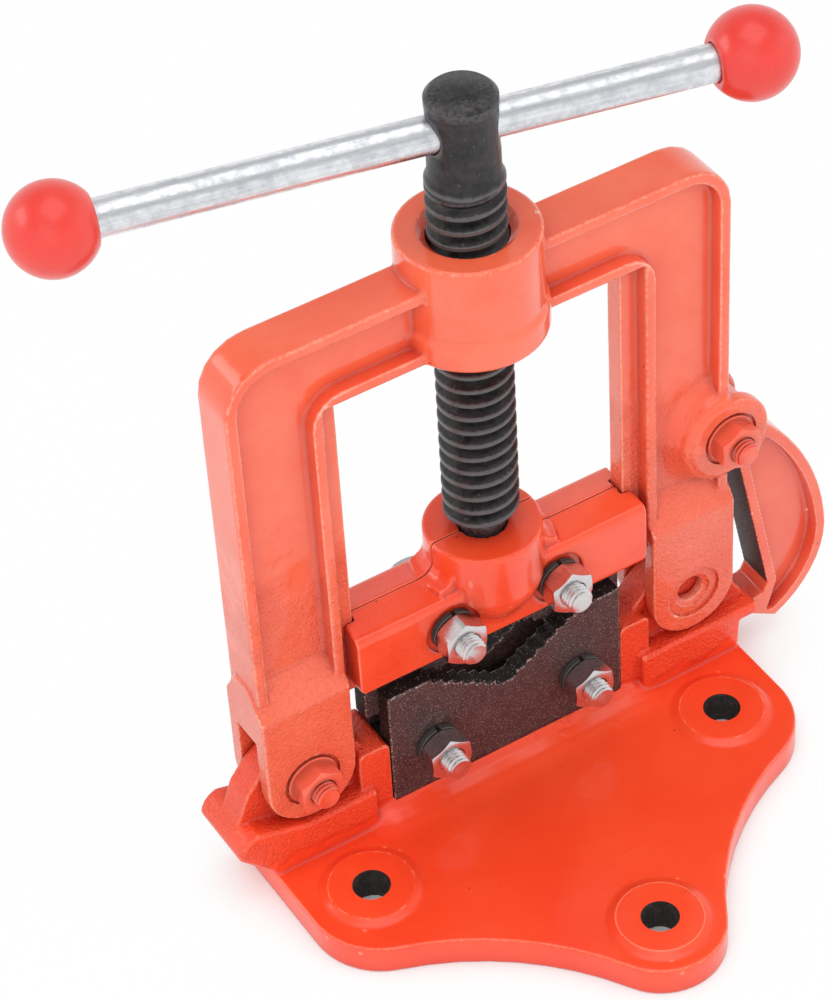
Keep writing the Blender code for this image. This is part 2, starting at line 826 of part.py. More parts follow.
def carriage_hub(side, sign):
    # Half a barrel round the swivel, tapered at its foot and filleted onto the carriage's top
    parting = carriage_parting / 2
    barrel = turned("hub_" + side, [
        (0, hub_top), (hub_radius - edge_break, hub_top), (hub_radius, hub_top - edge_break),
        (hub_radius, carriage_bottom + hub_taper_start),
        (hub_foot_radius, carriage_bottom + hub_taper_end),
        (0, carriage_bottom + hub_taper_end),
    ])
    reach = hub_radius + hub_fillet + overrun
    low, high = sorted((sign * parting, sign * hub_outer))
    keep(barrel, box(f"hub_{side}_side", (-reach, low, 0), (reach, high, hub_top + overrun)))
    corner = (hub_radius + hub_fillet, carriage_top + hub_fillet)
    hollow = arc(corner, hub_fillet, 180, 270, 4)
    fillet = turned("hub_fillet_" + side, [
        (0, corner[1]), *hollow, (corner[0], carriage_top - carriage_slope), (0, carriage_bottom),
    ])
    low, high = sorted((sign * parting, sign * (carriage_outer - carriage_corner)))
    keep(fillet, box(f"hub_fillet_{side}_side", (-reach, low, 0), (reach, high, hub_top)))
    return barrel, fillet


def carriage_half(side, sign):
    name = f"carriage_{side}_half"
    width, bottom, top = carriage_half_width, carriage_bottom, carriage_top
    body = rounded(
        [(width, bottom), (width, top), (-width, top), (-width, bottom)],
        [carriage_corner] * 4, 3,
    )
    parting, outer = carriage_parting / 2, carriage_outer
    low, high = sorted((sign * parting, sign * outer))
    half = plate(name, body, low, high, collection=vise)
    section = rounded(
        [(parting, bottom), (outer, bottom), (outer, top - carriage_slope), (parting, top)],
        [0, edge_break, carriage_corner, 0], 3,
    )
    keep(half, plate(name + "_section", on_side(sign, section), -width - overrun, width + overrun, "YZ"))
    join(half, *carriage_hub(side, sign))
    rail_way = rail_half_depth + rail_clearance
    for end, end_sign in (left, right):
        near, far = sorted((end_sign * (rail_inner - rail_end_clearance), end_sign * (width + overrun)))
        way = box(
            f"{name}_rail_way_{end}",
            (near, -rail_way, bottom - overrun),
            (far, rail_way, top + overrun),
        )
        cut(half, way)
    jaw_half = upper_jaw_half + seat_gap
    jaw_depth = upper_jaw_thickness / 2 + seat_gap
    jaw_top = upper_jaw_top + seat_gap
    pocket = box(
        name + "_jaw_pocket",
        (-jaw_half, -jaw_depth, bottom - overrun),
        (jaw_half, jaw_depth, jaw_top),
    )
    neck = screw_neck_diameter / 2 + swivel_clearance
    collar = screw_collar_diameter / 2 + swivel_clearance
    cavity = turned(name + "_swivel", [
        (0, hub_top + overrun), (neck, hub_top + overrun), (neck, collar_top + swivel_clearance),
        (collar, collar_top + swivel_clearance), (collar, collar_bottom - swivel_clearance),
        (0, collar_bottom - swivel_clearance),
    ], steps=small_round_steps)
    cut(half, pocket, cavity)
    reach = hub_outer + overrun
    seat_radius = jaw_hex / sqrt(3) + nut_seat_margin
    for end, end_sign in (left, right):
        place = (end_sign * carriage_bolt_x, 0, carriage_bolt_z)
        way = rod(f"{name}_{end}_way", jaw_screw_hole / 2, -reach, reach, place, "Y")
        low, high = -sign * (outer - seat_depth), -sign * reach
        seat = rod(f"{name}_{end}_seat", seat_radius, low, high, place, "Y")
        cut(half, way, seat)
    return finish(half, base_paint, carriage_joint)


def hex_body(name, across, low, high, centre, outer, collection=cutters):
    # A hex prism along Y whose corners are turned off at its outer end
    corner = across / sqrt(3)
    body = rod(name, corner, low, high, centre, "Y", 6, collection)
    wide = corner + overrun
    fall = (wide - across / 2) * tan(radians(hex_chamfer_angle))
    turn = 1 if outer > low else -1
    inner = low if outer > low else high
    profile = [
        (0, outer), (across / 2, outer), (wide, outer - turn * fall),
        (wide, inner - turn * overrun), (0, inner - turn * overrun),
    ]
    if turn < 0:
        profile.reverse()
    return keep(body, turned(name + "_cone", profile, centre, "Y", small_round_steps))


def spring_washer(name, centre, low, radius, material, joint):
    outer = spring_washer_diameter / 2
    high = low + spring_washer_height
    ring = rod(name, outer, low, high, centre, "Y", collection=vise)
    way = rod(name + "_way", radius + seat_gap, low - overrun, high + overrun, centre, "Y")
    x, _, z = centre
    slit = box(
        name + "_slit",
        (x - spring_washer_slit / 2, -high - overrun, z),
        (x + spring_washer_slit / 2, overrun - low, z + outer + overrun),
    )
    return finish(cut(ring, way, slit), material, joint)


def fastener(name, x, z, kind, seat, joint, material):
    # A bolt with its head at the rear and its nut, over any spring washer, at the front
    diameter, across, head, nut, end, washer = kind
    centre = (x, 0, z)
    radius = diameter / 2
    under_nut = seat + seat_gap
    if washer:
        spring_washer(name + "_spring_washer", centre, under_nut, radius, material, joint)
        under_nut += washer + seat_gap
    nut_top = under_nut + nut
    head_low = -seat - seat_gap - head
    head_high = -seat - seat_gap
    tip = nut_top + end
    shank = [
        (0, tip), (radius - edge_break, tip), (radius, tip - edge_break),
        (radius, head_high - edge_break), (0, head_high - edge_break),
    ]
    bolt = turned(name + "_bolt", shank, centre, "Y", small_round_steps, vise)
    join(bolt, hex_body(name + "_head", across, head_low, head_high, centre, head_low))
    finish(bolt, material, joint)
    body = hex_body(name + "_nut", across, under_nut, nut_top, centre, nut_top, vise)
    way = rod(name + "_nut_way", radius + seat_gap, seat, tip, centre, "Y")
    finish(cut(body, way), material, joint)


def wound_thread(low, high):
    # The trapezoidal outline of one pitch winds up past both levels and is then sliced off at them
    radius = screw_diameter / 2
    root = radius - thread_depth
    crest_width = thread_pitch * thread_crest_share
    root_width = thread_pitch * thread_root_share
    flank_width = (thread_pitch - crest_width - root_width) / 2
    outline = [
        (radius, 0), (radius, crest_width), (root, crest_width + flank_width),
        (root, crest_width + flank_width + root_width), (radius, thread_pitch),
    ]
    start = low - thread_pitch
    turns = ceil((high - start) / thread_pitch)
    guide = turned("thread_guide", [(out, start + up) for out, up in outline], steps=thread_steps)
    wind = guide.modifiers["turn"]
    wind.screw_offset = thread_pitch
    wind.iterations = turns
    wind.use_merge_vertices = False
    mesh = solid_mesh(guide)
    bpy.data.objects.remove(guide)
    shell = bmesh.new()
    shell.from_mesh(mesh)
    for level, side in ((low, -1), (high, 1)):
        everything = shell.verts[:] + shell.edges[:] + shell.faces[:]
        bmesh.ops.bisect_plane(
            shell, geom=everything, plane_co=(0, 0, level), plane_no=(0, 0, side), clear_outer=True
        )
    bmesh.ops.holes_fill(shell, edges=shell.edges)
    bmesh.ops.recalc_face_normals(shell, faces=shell.faces)
    shell.to_mesh(mesh)
    shell.free()
    return new_object("clamp_screw_thread", mesh, cutters)


def clamp_screw():
    radius = screw_diameter / 2
    head = screw_head_diameter / 2
    neck = screw_neck_diameter / 2
    collar = screw_collar_diameter / 2
    thread_end = thread_top - thread_run_out
    lead_bottom = thread_bottom - (radius - neck) / 2
    profile = [
        (0, screw_head_top), (head - screw_head_chamfer, screw_head_top),
        (head, screw_head_top - screw_head_chamfer), (head, thread_top + screw_step),
        (radius, thread_top - screw_step), (radius, thread_end), (neck, thread_end),
        (neck, collar_top), (collar, collar_top), (collar, collar_bottom), (0, collar_bottom),
    ]
    screw = turned("clamp_screw", profile, collection=vise)
    thread = wound_thread(lead_bottom, thread_end + screw_step)
    lead_reach = radius + overrun
    lead_cone = [
        (0, thread_top), (lead_reach, thread_top), (lead_reach, thread_bottom + overrun / 2),
        (neck, lead_bottom), (0, lead_bottom),
    ]
    keep(thread, turned("thread_lead", lead_cone))
    join(screw, thread)
    reach = radius + overrun
    cut(screw, along_bar(rod("bar_way", bar_diameter / 2 + bar_play, -reach, reach)))
    return finish(screw, black_steel, screw_joint)


def along_bar(obj, shift=0, flip=0):
    # Lays an upright turned piece along the tommy bar
    lie = Matrix.Rotation(radians(bar_turn), 4, "Z") @ Matrix.Rotation(pi / 2, 4, "Y")
    slide = Matrix.Translation((0, 0, shift)) @ Matrix.Rotation(flip, 4, "X")
    obj.matrix_world = Matrix.Translation((0, 0, bar_z)) @ lie @ slide
    return obj


def tommy_bar():
    seated = knob_diameter / 2 * knob_mouth_share - knob_socket_depth
    bar = rod("tommy_bar", bar_diameter / 2, -bar_left + seated, bar_right - seated, collection=vise)
    return finish(along_bar(bar), bright_zinc, bar_joint)


def ball_knob(side, shift, flip):
    radius = knob_diameter / 2
    socket = bar_diameter / 2 + seat_gap
    mouth = radius * knob_mouth_share
    floor = mouth - knob_socket_depth - seat_gap
    ball = arc((0, 0), radius, degrees(asin(knob_mouth_share)), -90, 10)
    profile = [(0, floor), (socket, floor), (socket, mouth), *ball[:-1], (0, -radius)]
    knob = turned("ball_knob_" + side, profile, steps=knob_steps, collection=vise)
    return finish(along_bar(knob, shift, flip), red_plastic, bar_joint)


pivot_kind = (
    pivot_bolt_diameter, pivot_hex, pivot_head_height, pivot_nut_height, pivot_bolt_end, 0,
)
jaw_kind = (
    jaw_screw_diameter, jaw_hex, jaw_head_height, jaw_nut_height, jaw_screw_end,
    spring_washer_height,
)

base_casting()
yoke_casting()
latch_hook()
upper_jaw()
clamp_screw()
tommy_bar()
ball_knob("left", -bar_left, 0)
ball_knob("right", bar_right, pi)
for side, sign in (front, rear):
    lower_jaw(side, sign)
    carriage_half(side, sign)
fork_seat = fork_half_depth - seat_depth
fastener("hinge", -pivot_x, pivot_z, pivot_kind, fork_seat, None, yoke_paint)
ear_seat = ear_face - seat_depth
fastener("latch", latch_pivot_x, latch_pivot_z, pivot_kind, ear_seat, hinge_joint, yoke_paint)
carriage_seat = carriage_outer - seat_depth
for end, sign in (left, right):
    x = sign * jaw_bolt_x
    fastener("lower_jaw_" + end, x, jaw_bolt_z, jaw_kind, jaw_plate_outer, None, bright_zinc)
    x = sign * carriage_bolt_x
    fastener(
        "carriage_" + end, x, carriage_bolt_z, jaw_kind, carriage_seat, carriage_joint, bright_zinc
    )
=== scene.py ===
import json
from math import asin, atan2, ceil, cos, degrees, hypot, pi, radians, sin, sqrt, tan

import bmesh
import bpy
from mathutils import Matrix, Vector


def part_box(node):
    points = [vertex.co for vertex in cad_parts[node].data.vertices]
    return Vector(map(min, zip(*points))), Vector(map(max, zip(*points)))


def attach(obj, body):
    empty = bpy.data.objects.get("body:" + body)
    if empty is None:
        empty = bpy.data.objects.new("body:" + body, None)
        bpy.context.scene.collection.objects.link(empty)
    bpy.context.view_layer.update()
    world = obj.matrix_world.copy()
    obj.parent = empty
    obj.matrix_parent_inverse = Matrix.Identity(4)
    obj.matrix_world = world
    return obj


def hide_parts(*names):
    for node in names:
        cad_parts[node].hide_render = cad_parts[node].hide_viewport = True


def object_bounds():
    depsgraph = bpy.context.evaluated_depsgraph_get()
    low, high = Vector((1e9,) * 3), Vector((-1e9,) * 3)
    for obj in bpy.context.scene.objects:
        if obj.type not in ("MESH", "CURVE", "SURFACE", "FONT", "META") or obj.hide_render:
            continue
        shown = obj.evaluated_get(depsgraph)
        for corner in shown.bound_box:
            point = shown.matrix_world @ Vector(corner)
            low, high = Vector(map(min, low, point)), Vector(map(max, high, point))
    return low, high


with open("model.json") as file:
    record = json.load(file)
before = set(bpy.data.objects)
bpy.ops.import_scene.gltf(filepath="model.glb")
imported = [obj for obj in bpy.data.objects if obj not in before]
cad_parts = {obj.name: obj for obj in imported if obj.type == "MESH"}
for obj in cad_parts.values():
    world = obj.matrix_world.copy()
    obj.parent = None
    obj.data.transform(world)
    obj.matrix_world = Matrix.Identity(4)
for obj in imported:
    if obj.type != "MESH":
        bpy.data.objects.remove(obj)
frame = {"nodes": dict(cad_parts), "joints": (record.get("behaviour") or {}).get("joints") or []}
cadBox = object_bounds()
cadNodes = frame["nodes"]
scene = bpy.context.scene
mm = 0.001
print("pipe vise: frame loaded,", len(cadNodes), "nodes")


# node building

nodeGrid = {"columns": 8, "across": 200, "down": -260}


class Tree:
    # places shader nodes and wires them; an input may be a value or another node's output
    def __init__(self, tree):
        self.tree = tree
        self.count = 0

    def add(self, kind, settings=None, **inputs):
        node = self.tree.nodes.new(kind)
        row, column = divmod(self.count, nodeGrid["columns"])
        node.location = (nodeGrid["across"] * column, nodeGrid["down"] * row)
        self.count += 1
        for key, value in (settings or {}).items():
            setattr(node, key, value)
        self.fill(node, **inputs)
        return node

    def fill(self, node, **inputs):
        # n0 names an input by its number, Base_Color one by its label
        for key, value in inputs.items():
            numbered = key[0] == "n" and key[1:].isdigit()
            socket = node.inputs[int(key[1:]) if numbered else key.replace("_", " ")]
            if isinstance(value, bpy.types.NodeSocket):
                self.tree.links.new(value, socket)
            else:
                socket.default_value = value

    def math(self, operation, a, b=0.0, clamp=False):
        settings = {"operation": operation, "use_clamp": clamp}
        return self.add("ShaderNodeMath", settings, n0=a, n1=b).outputs[0]

    def times(self, first, *others):
        for factor in others:
            first = self.math("MULTIPLY", first, factor)
        return first

    def ramp(self, value, low, high, start=0.0, end=1.0):
        # maps low..high to start..end and holds it there
        return self.add("ShaderNodeMapRange", n0=value, n1=low, n2=high, n3=start, n4=end).outputs[0]

    def mix(self, share, *colors):
        first, second = (
            color if isinstance(color, bpy.types.NodeSocket) else (*color, 1) for color in colors
        )
        return self.add("ShaderNodeMix", {"data_type": "RGBA"}, n0=share, n6=first, n7=second).outputs[2]

    def noise(self, vector, scale, detail, roughness):
        node = self.add("ShaderNodeTexNoise", Vector=vector, Scale=scale, Detail=detail, Roughness=roughness)
        return node.outputs["Fac"]

    def cells(self, feature, vector, scale):
        return self.add("ShaderNodeTexVoronoi", {"feature": feature}, Vector=vector, Scale=scale).outputs


def newGroup(name, inputs, outputs):
    group = bpy.data.node_groups.new(name, "ShaderNodeTree")
    for label, value in inputs.items():
        socket = group.interface.new_socket(label, in_out="INPUT", socket_type="NodeSocketFloat")
        socket.default_value = value
    for label in outputs:
        group.interface.new_socket(label, in_out="OUTPUT", socket_type="NodeSocketFloat")
    tree = Tree(group)
    entry = tree.add("NodeGroupInput").outputs
    leave = tree.add("NodeGroupOutput")
    place = tree.add("ShaderNodeTexCoord").outputs["Object"]
    scaled = tree.add("ShaderNodeVectorMath", {"operation": "SCALE"}, n0=place, Scale=1 / mm)
    return tree, entry, leave, scaled.outputs[0]


# noise is given as scale per millimetre, detail and roughness
patterns = {
    "castSkin": {
        "waves": (0.09, 3, 0.55), "patches": (0.045, 3, 0.6), "patchRange": (0.45, 0.62),
        "zoneShift": (-0.26, 0.20), "grain": (1.15, 3, 0.6), "tone": (0.03, 4, 0.6),
        "dimpleScale": 1.1, "dimpleRange": (0.0, 0.55), "dimpleShare": 0.35, "pitRange": (0.50, 0.38),
        "speckScale": 0.11, "speckRange": (0.045, 0.02), "speckLevel": 0.62,
    },
    "edgeGlintAndShade": {
        "breaks": (0.7, 4, 0.7), "breakDepth": 0.05, "proud": (0.548, 0.574), "hollow": (0.495, 0.455),
    },
    "metalFlecks": {"clouds": (0.35, 5, 0.65), "dents": (2.2, 3, 0.7)},
}


def castSkinGroup():
    # the skin of a painted sand casting: long waves, sand pits in patches, rough between two heights; the
    # pit mask is painted shade in the sand pits
    tree, entry, leave, place = newGroup(
        "castSkin", {"Wave": 1.0, "Grain": 1.0, "Smooth At": 0.0, "Rough At": 1.0, "Specks": 1.0},
        ["Height", "Patch", "Pit", "Tone", "Speck"]
    )
    look = patterns["castSkin"]
    level = tree.add("ShaderNodeSeparateXYZ", Vector=place).outputs["Z"]
    zone = tree.ramp(level, entry["Smooth At"], entry["Rough At"], *look["zoneShift"])
    patch = tree.ramp(tree.math("ADD", tree.noise(place, *look["patches"]), zone), *look["patchRange"])
    grain = tree.noise(place, *look["grain"])
    cells = tree.cells("SMOOTH_F1", place, look["dimpleScale"])
    dimples = tree.ramp(cells["Distance"], *look["dimpleRange"])
    rough = tree.math("ADD", grain, tree.times(dimples, look["dimpleShare"]))
    rough = tree.times(rough, patch, entry["Grain"])
    calm = tree.times(tree.noise(place, *look["waves"]), entry["Wave"])
    dots = tree.cells("F1", place, look["speckScale"])
    near = tree.ramp(dots["Distance"], *look["speckRange"])
    kind = tree.add("ShaderNodeSeparateColor", n0=dots["Color"])
    chosen = tree.math("GREATER_THAN", kind.outputs[0], look["speckLevel"])
    # painted shade: the low points of the grain in the rough patches make the pit mask, which darkens the
    # sand pits
    tree.fill(
        leave, Height=tree.math("ADD", rough, calm), Patch=patch,
        Pit=tree.times(tree.ramp(grain, *look["pitRange"]), patch),
        Tone=tree.noise(place, *look["tone"]), Speck=tree.times(near, chosen, entry["Specks"])
    )
    return tree.tree


def edgeGlintAndShadeGroup():
    # a painted highlight mask, bright where an edge stands proud, and a painted shade mask in concave
    # creases
    tree, entry, leave, place = newGroup("edgeGlintAndShade", {"Amount": 0.5, "Break": 0.5}, ["Edge", "Hollow"])
    look = patterns["edgeGlintAndShade"]
    point = tree.add("ShaderNodeNewGeometry").outputs["Pointiness"]
    broken = tree.times(tree.noise(place, *look["breaks"]), entry["Break"], look["breakDepth"])
    proud = tree.ramp(tree.math("ADD", point, broken), *look["proud"])
    glinting = tree.math("MULTIPLY", proud, entry["Amount"], True)
    tree.fill(leave, Edge=glinting, Hollow=tree.ramp(point, *look["hollow"]))
    return tree.tree


def metalFlecksGroup():
    # fine bright grains, cloudy stains and shallow dents on bare or plated steel
    tree, entry, leave, place = newGroup(
        "metalFlecks", {"Fleck Scale": 3.0, "Fleck Share": 0.3}, ["Fleck", "Cloud", "Height"]
    )
    look = patterns["metalFlecks"]
    cells = tree.cells("F1", place, entry["Fleck Scale"])
    sparkle = tree.add("ShaderNodeSeparateColor", n0=cells["Color"]).outputs
    fleck = tree.math("GREATER_THAN", sparkle[0], tree.math("SUBTRACT", 1.0, entry["Fleck Share"]))
    tree.fill(
        leave, Fleck=tree.times(fleck, sparkle[1]), Cloud=tree.noise(place, *look["clouds"]),
        Height=tree.noise(place, *look["dents"])
    )
    return tree.tree


castSkin = castSkinGroup()
edgeGlintAndShade = edgeGlintAndShadeGroup()
metalFlecks = metalFlecksGroup()


def startMaterial(name, fixed):
    # fixed values go straight on the shader's own sockets
    material = bpy.data.materials.new(name)
    material.use_nodes = True
    tree = Tree(material.node_tree)
    shader = material.node_tree.nodes["Principled BSDF"]
    tree.fill(shader, **fixed)
    return material, tree, shader


def placeGroup(tree, group, **values):
    return tree.add("ShaderNodeGroup", {"node_tree": group}, **values).outputs


def dress(tree, shader, color, roughness, height, depth):
    relief = tree.add("ShaderNodeBump", Strength=1.0, Distance=depth, Height=height)
    tree.fill(shader, Base_Color=color, Roughness=roughness, Normal=relief.outputs[0])


# each paint has its own main, deep and speck colours; edge is a painted highlight colour for proud edges,
# and the dark colour for creases, pits and recesses is painted shade
paintCommon = {
    "speck": (0.20, 0.02, 0.012), "hollowShadeShare": 0.8, "wave": 0.6, "gloss": 0.24, "coat": 0.5,
    "zone": (0.0, 400.0), "toneRange": (0.35, 0.68), "dulling": 0.05, "pitShadeShare": 0.16,
    "creaseShadeReach": 0.009, "creaseShadeRange": (0.80, 0.25, 0.0, 0.75),
}
thinPaint = {**paintCommon, "edge": (1.0, 0.50, 0.36), "wave": 0.9, "gloss": 0.22, "coat": 0.6, "wear": 0.75}
paints = {
    "yokePaint": {
        **thinPaint, "main": (0.95, 0.172, 0.085), "deep": (0.90, 0.108, 0.040),
        "hollow": (0.48, 0.022, 0.010), "grain": 2.2, "depth": 0.00026, "zone": (150.0, 92.0),
    },
    "basePaint": {
        **paintCommon, "main": (0.98, 0.082, 0.022), "deep": (0.94, 0.058, 0.014),
        "edge": (1.0, 0.30, 0.17), "hollow": (0.55, 0.014, 0.005), "hollowShadeShare": 0.7,
        "speck": (0.25, 0.015, 0.008), "wave": 0.2, "gloss": 0.30, "coat": 0.35, "wear": 0.6,
        "grain": 2.8, "depth": 0.00026, "zone": (10.5, 17.0),
    },
    "carriagePaint": {
        **paintCommon, "main": (0.97, 0.105, 0.036), "deep": (0.90, 0.064, 0.018),
        "edge": (1.0, 0.30, 0.18), "hollow": (0.40, 0.014, 0.006), "wear": 0.5, "grain": 0.5,
        "depth": 0.00020, "zone": (130.0, 30.0),
    },
    "hookPaint": {
        **thinPaint, "main": (0.93, 0.165, 0.088), "deep": (0.86, 0.105, 0.050),
        "hollow": (0.45, 0.016, 0.010), "grain": 1.2, "depth": 0.00024,
    },
    "pivotPaint": {
        **paintCommon, "main": (0.90, 0.090, 0.036), "deep": (0.82, 0.060, 0.022),
        "edge": (1.0, 0.30, 0.19), "hollow": (0.10, 0.016, 0.008), "hollowShadeShare": 1.0, "wear": 0.25,
        "grain": 0.2, "depth": 0.00008,
    },
}


def paintMaterial(name, paint):
    material, tree, shader = startMaterial(
        name, {"Metallic": 0.0, "Coat Weight": paint["coat"], "Coat Roughness": 0.07, "Coat IOR": 1.5}
    )
    smoothAt, roughAt = paint["zone"]
    skin = placeGroup(
        tree, castSkin, Wave=paint["wave"], Grain=paint["grain"], Smooth_At=smoothAt, Rough_At=roughAt
    )
    wear = placeGroup(tree, edgeGlintAndShade, Amount=paint["wear"], Break=1.0)
    # painted shade: ambient occlusion darkens the paint near other surfaces, in creases and recesses
    occlusionShade = tree.add("ShaderNodeAmbientOcclusion", {"samples": 6}, Distance=paint["creaseShadeReach"])
    color = tree.mix(tree.ramp(skin["Tone"], *paint["toneRange"]), paint["deep"], paint["main"])
    # painted shade in sand pits, a painted highlight on proud edges, painted shade in concave creases and
    # near other surfaces, then the paint's own specks
    for share, tint in (
        (tree.times(skin["Pit"], paint["pitShadeShare"]), "hollow"), (wear["Edge"], "edge"),
        (tree.times(wear["Hollow"], paint["hollowShadeShare"]), "hollow"),
        (tree.ramp(occlusionShade.outputs["AO"], *paint["creaseShadeRange"]), "hollow"), (skin["Speck"], "speck"),
    ):
        color = tree.mix(share, color, paint[tint])
    dull = tree.ramp(skin["Patch"], 0.0, 1.0, paint["gloss"], paint["gloss"] + paint["dulling"])
    dress(tree, shader, color, dull, skin["Height"], paint["depth"])
    return material


# the plain twin, without the painted edge highlight and crease shade, is for large flat faces, where these
# masks would run in streaks
finishes = {}
for name, paint in paints.items():
    finishes[name] = paintMaterial(name, paint)
    finishes[name + "Plain"] = paintMaterial(name + "Plain", {**paint, "wear": 0.0, "hollowShadeShare": 0.0})


def steelMaterial(name, steel):
    material, tree, shader = startMaterial(name, {"Metallic": steel["metallic"]})
    scale, share, strength = steel["flecks"]
    flecks = placeGroup(tree, metalFlecks, Fleck_Scale=scale, Fleck_Share=share)
    wear = placeGroup(tree, edgeGlintAndShade, Amount=steel["wear"], Break=1.0)
    color = tree.mix(tree.ramp(flecks["Cloud"], *stain["tint"]), steel["dark"], steel["main"])
    color = tree.mix(tree.times(flecks["Fleck"], strength), color, steel["bright"])
    # painted highlight along proud edges
    color = tree.mix(wear["Edge"], color, steel["bright"])
    polish = tree.ramp(flecks["Cloud"], *stain["polish"], *steel["roughness"])
    dress(tree, shader, color, polish, flecks["Height"], steel["depth"])
    return material


stain = {"tint": (0.35, 0.65), "polish": (0.3, 0.7)}
# flecks is their scale, share and strength
# bright is the colour of the flecks and also of the painted highlight laid along proud edges
steels = {
    "screwSteel": {
        "main": (0.040, 0.036, 0.038), "dark": (0.014, 0.013, 0.014), "bright": (0.26, 0.25, 0.26),
        "metallic": 0.35, "roughness": (0.22, 0.42), "wear": 0.35, "flecks": (1.6, 0.012, 0.25),
        "depth": 0.00006,
    },
    "jawFace": {
        "main": (0.095, 0.046, 0.044), "dark": (0.046, 0.026, 0.027), "bright": (0.90, 0.70, 0.62),
        "metallic": 0.2, "roughness": (0.5, 0.68), "wear": 0.0, "flecks": (5.0, 0.10, 0.45),
        "depth": 0.00012,
    },
    "jawRim": {
        "main": (0.16, 0.11, 0.10), "dark": (0.040, 0.026, 0.025), "bright": (0.90, 0.78, 0.70),
        "metallic": 0.5, "roughness": (0.35, 0.55), "wear": 0.0, "flecks": (3.0, 0.30, 0.8),
        "depth": 0.00007,
    },
    "jawEdge": {
        "main": (0.016, 0.012, 0.012), "dark": (0.006, 0.005, 0.005), "bright": (0.62, 0.52, 0.46),
        "metallic": 0.15, "roughness": (0.55, 0.75), "wear": 0.0, "flecks": (3.4, 0.05, 0.5),
        "depth": 0.00007,
    },
    "nutZinc": {
        "main": (0.72, 0.71, 0.72), "dark": (0.64, 0.63, 0.64), "bright": (0.95, 0.95, 0.95),
        "metallic": 1.0, "roughness": (0.24, 0.30), "wear": 0.0, "flecks": (1.8, 0.0, 0.0),
        "depth": 0.0000004,
    },
    "washerBlack": {
        "main": (0.020, 0.020, 0.021), "dark": (0.008, 0.008, 0.008), "bright": (0.25, 0.25, 0.24),
        "metallic": 0.6, "roughness": (0.25, 0.45), "wear": 0.4, "flecks": (2.0, 0.05, 0.4),
        "depth": 0.00003,
    },
    "bareIron": {
        "main": (0.075, 0.060, 0.058), "dark": (0.028, 0.020, 0.020), "bright": (0.42, 0.38, 0.36),
        "metallic": 0.2, "roughness": (0.5, 0.7), "wear": 0.0, "flecks": (2.0, 0.08, 0.3),
        "depth": 0.00014,
    },
}
finishes |= {name: steelMaterial(name, steel) for name, steel in steels.items()}


plating = {
    "main": (0.93, 0.94, 0.96), "dark": (0.60, 0.62, 0.66), "turn": radians(12.9),
    "stretch": (0.03, 0.9, 0.9), "roughness": (0.46, 0.26), "depth": 0.00001,
    "streaks": (1.0, 4, 0.65), "streakRange": (0.36, 0.66), "streakShare": 0.55,
    "clouds": (0.30, 5, 0.68), "cloudRange": (0.38, 0.62), "cloudShare": 0.45,
}


def barMaterial():
    # plated bar: streaks that run along it over cloudy patches
    material, tree, shader = startMaterial("barZinc", {"Metallic": 1.0})
    place = tree.add("ShaderNodeTexCoord").outputs["Object"]
    lie = tree.add(
        "ShaderNodeMapping", Vector=place, Rotation=(0, 0, plating["turn"]), Scale=(1 / mm, 1 / mm, 1 / mm)
    ).outputs[0]
    long = tree.add("ShaderNodeMapping", Vector=lie, Scale=plating["stretch"]).outputs[0]
    streak = tree.ramp(tree.noise(long, *plating["streaks"]), *plating["streakRange"])
    cloud = tree.ramp(tree.noise(lie, *plating["clouds"]), *plating["cloudRange"])
    clouded = tree.times(cloud, plating["cloudShare"])
    mixed = tree.math("ADD", tree.times(streak, plating["streakShare"]), clouded)
    polish = tree.ramp(cloud, 0.0, 1.0, *plating["roughness"])
    dress(tree, shader, tree.mix(mixed, plating["dark"], plating["main"]), polish, streak, plating["depth"])
    return material


finishes["barZinc"] = barMaterial()
plastic = {
    "main": (0.86, 0.058, 0.040), "deep": (0.76, 0.036, 0.028), "roughness": (0.24, 0.36),
    "toneRange": (0.3, 0.7), "grain": 0.15, "depth": 0.00006,
}


def knobMaterial():
    material, tree, shader = startMaterial(
        "knobPlastic", {"Metallic": 0.0, "IOR": 1.5, "Coat Weight": 0.3, "Coat Roughness": 0.16}
    )
    skin = placeGroup(tree, castSkin, Grain=plastic["grain"], Smooth_At=0.0, Rough_At=400.0)
    tone = tree.ramp(skin["Tone"], *plastic["toneRange"])
    color = tree.mix(tone, plastic["deep"], plastic["main"])
    dull = tree.ramp(tone, 0.0, 1.0, *plastic["roughness"])
    dress(tree, shader, color, dull, skin["Height"], plastic["depth"])
    return material


finishes["knobPlastic"] = knobMaterial()
print("pipe vise: finishes made,", len(finishes))


# mesh building

weldGap = 0.002 * mm
nearAxis = {"tool": 0.02 * mm, "part": 0.1 * mm}


def addObject(name, data):
    thing = bpy.data.objects.new(name, data)
    scene.collection.objects.link(thing)
    return thing


def addPiece(name, mesh, finish, body, replaced, creaseAngle=35):
    piece = addObject(name, mesh)
    mesh.materials.clear()
    mesh.materials.append(finishes[finish])
    mesh.shade_smooth()
    mesh.set_sharp_from_angle(angle=radians(creaseAngle))
    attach(piece, body)
    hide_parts(*replaced)


def meshFrom(name, shell, weld=weldGap, outward=True):
    # ends a bmesh as a mesh, with near points welded and the faces turned outwards
    if weld:
        bmesh.ops.remove_doubles(shell, verts=shell.verts, dist=weld)
    if outward:
        bmesh.ops.recalc_face_normals(shell, faces=shell.faces)
    mesh = bpy.data.meshes.new(name)
    shell.to_mesh(mesh)
    shell.free()
    return mesh


def joinMeshes(name, meshes, weld=0.0, outward=False):
    shell = bmesh.new()
    for mesh in meshes:
        shell.from_mesh(mesh)
        bpy.data.meshes.remove(mesh)
    return meshFrom(name, shell, weld, outward)


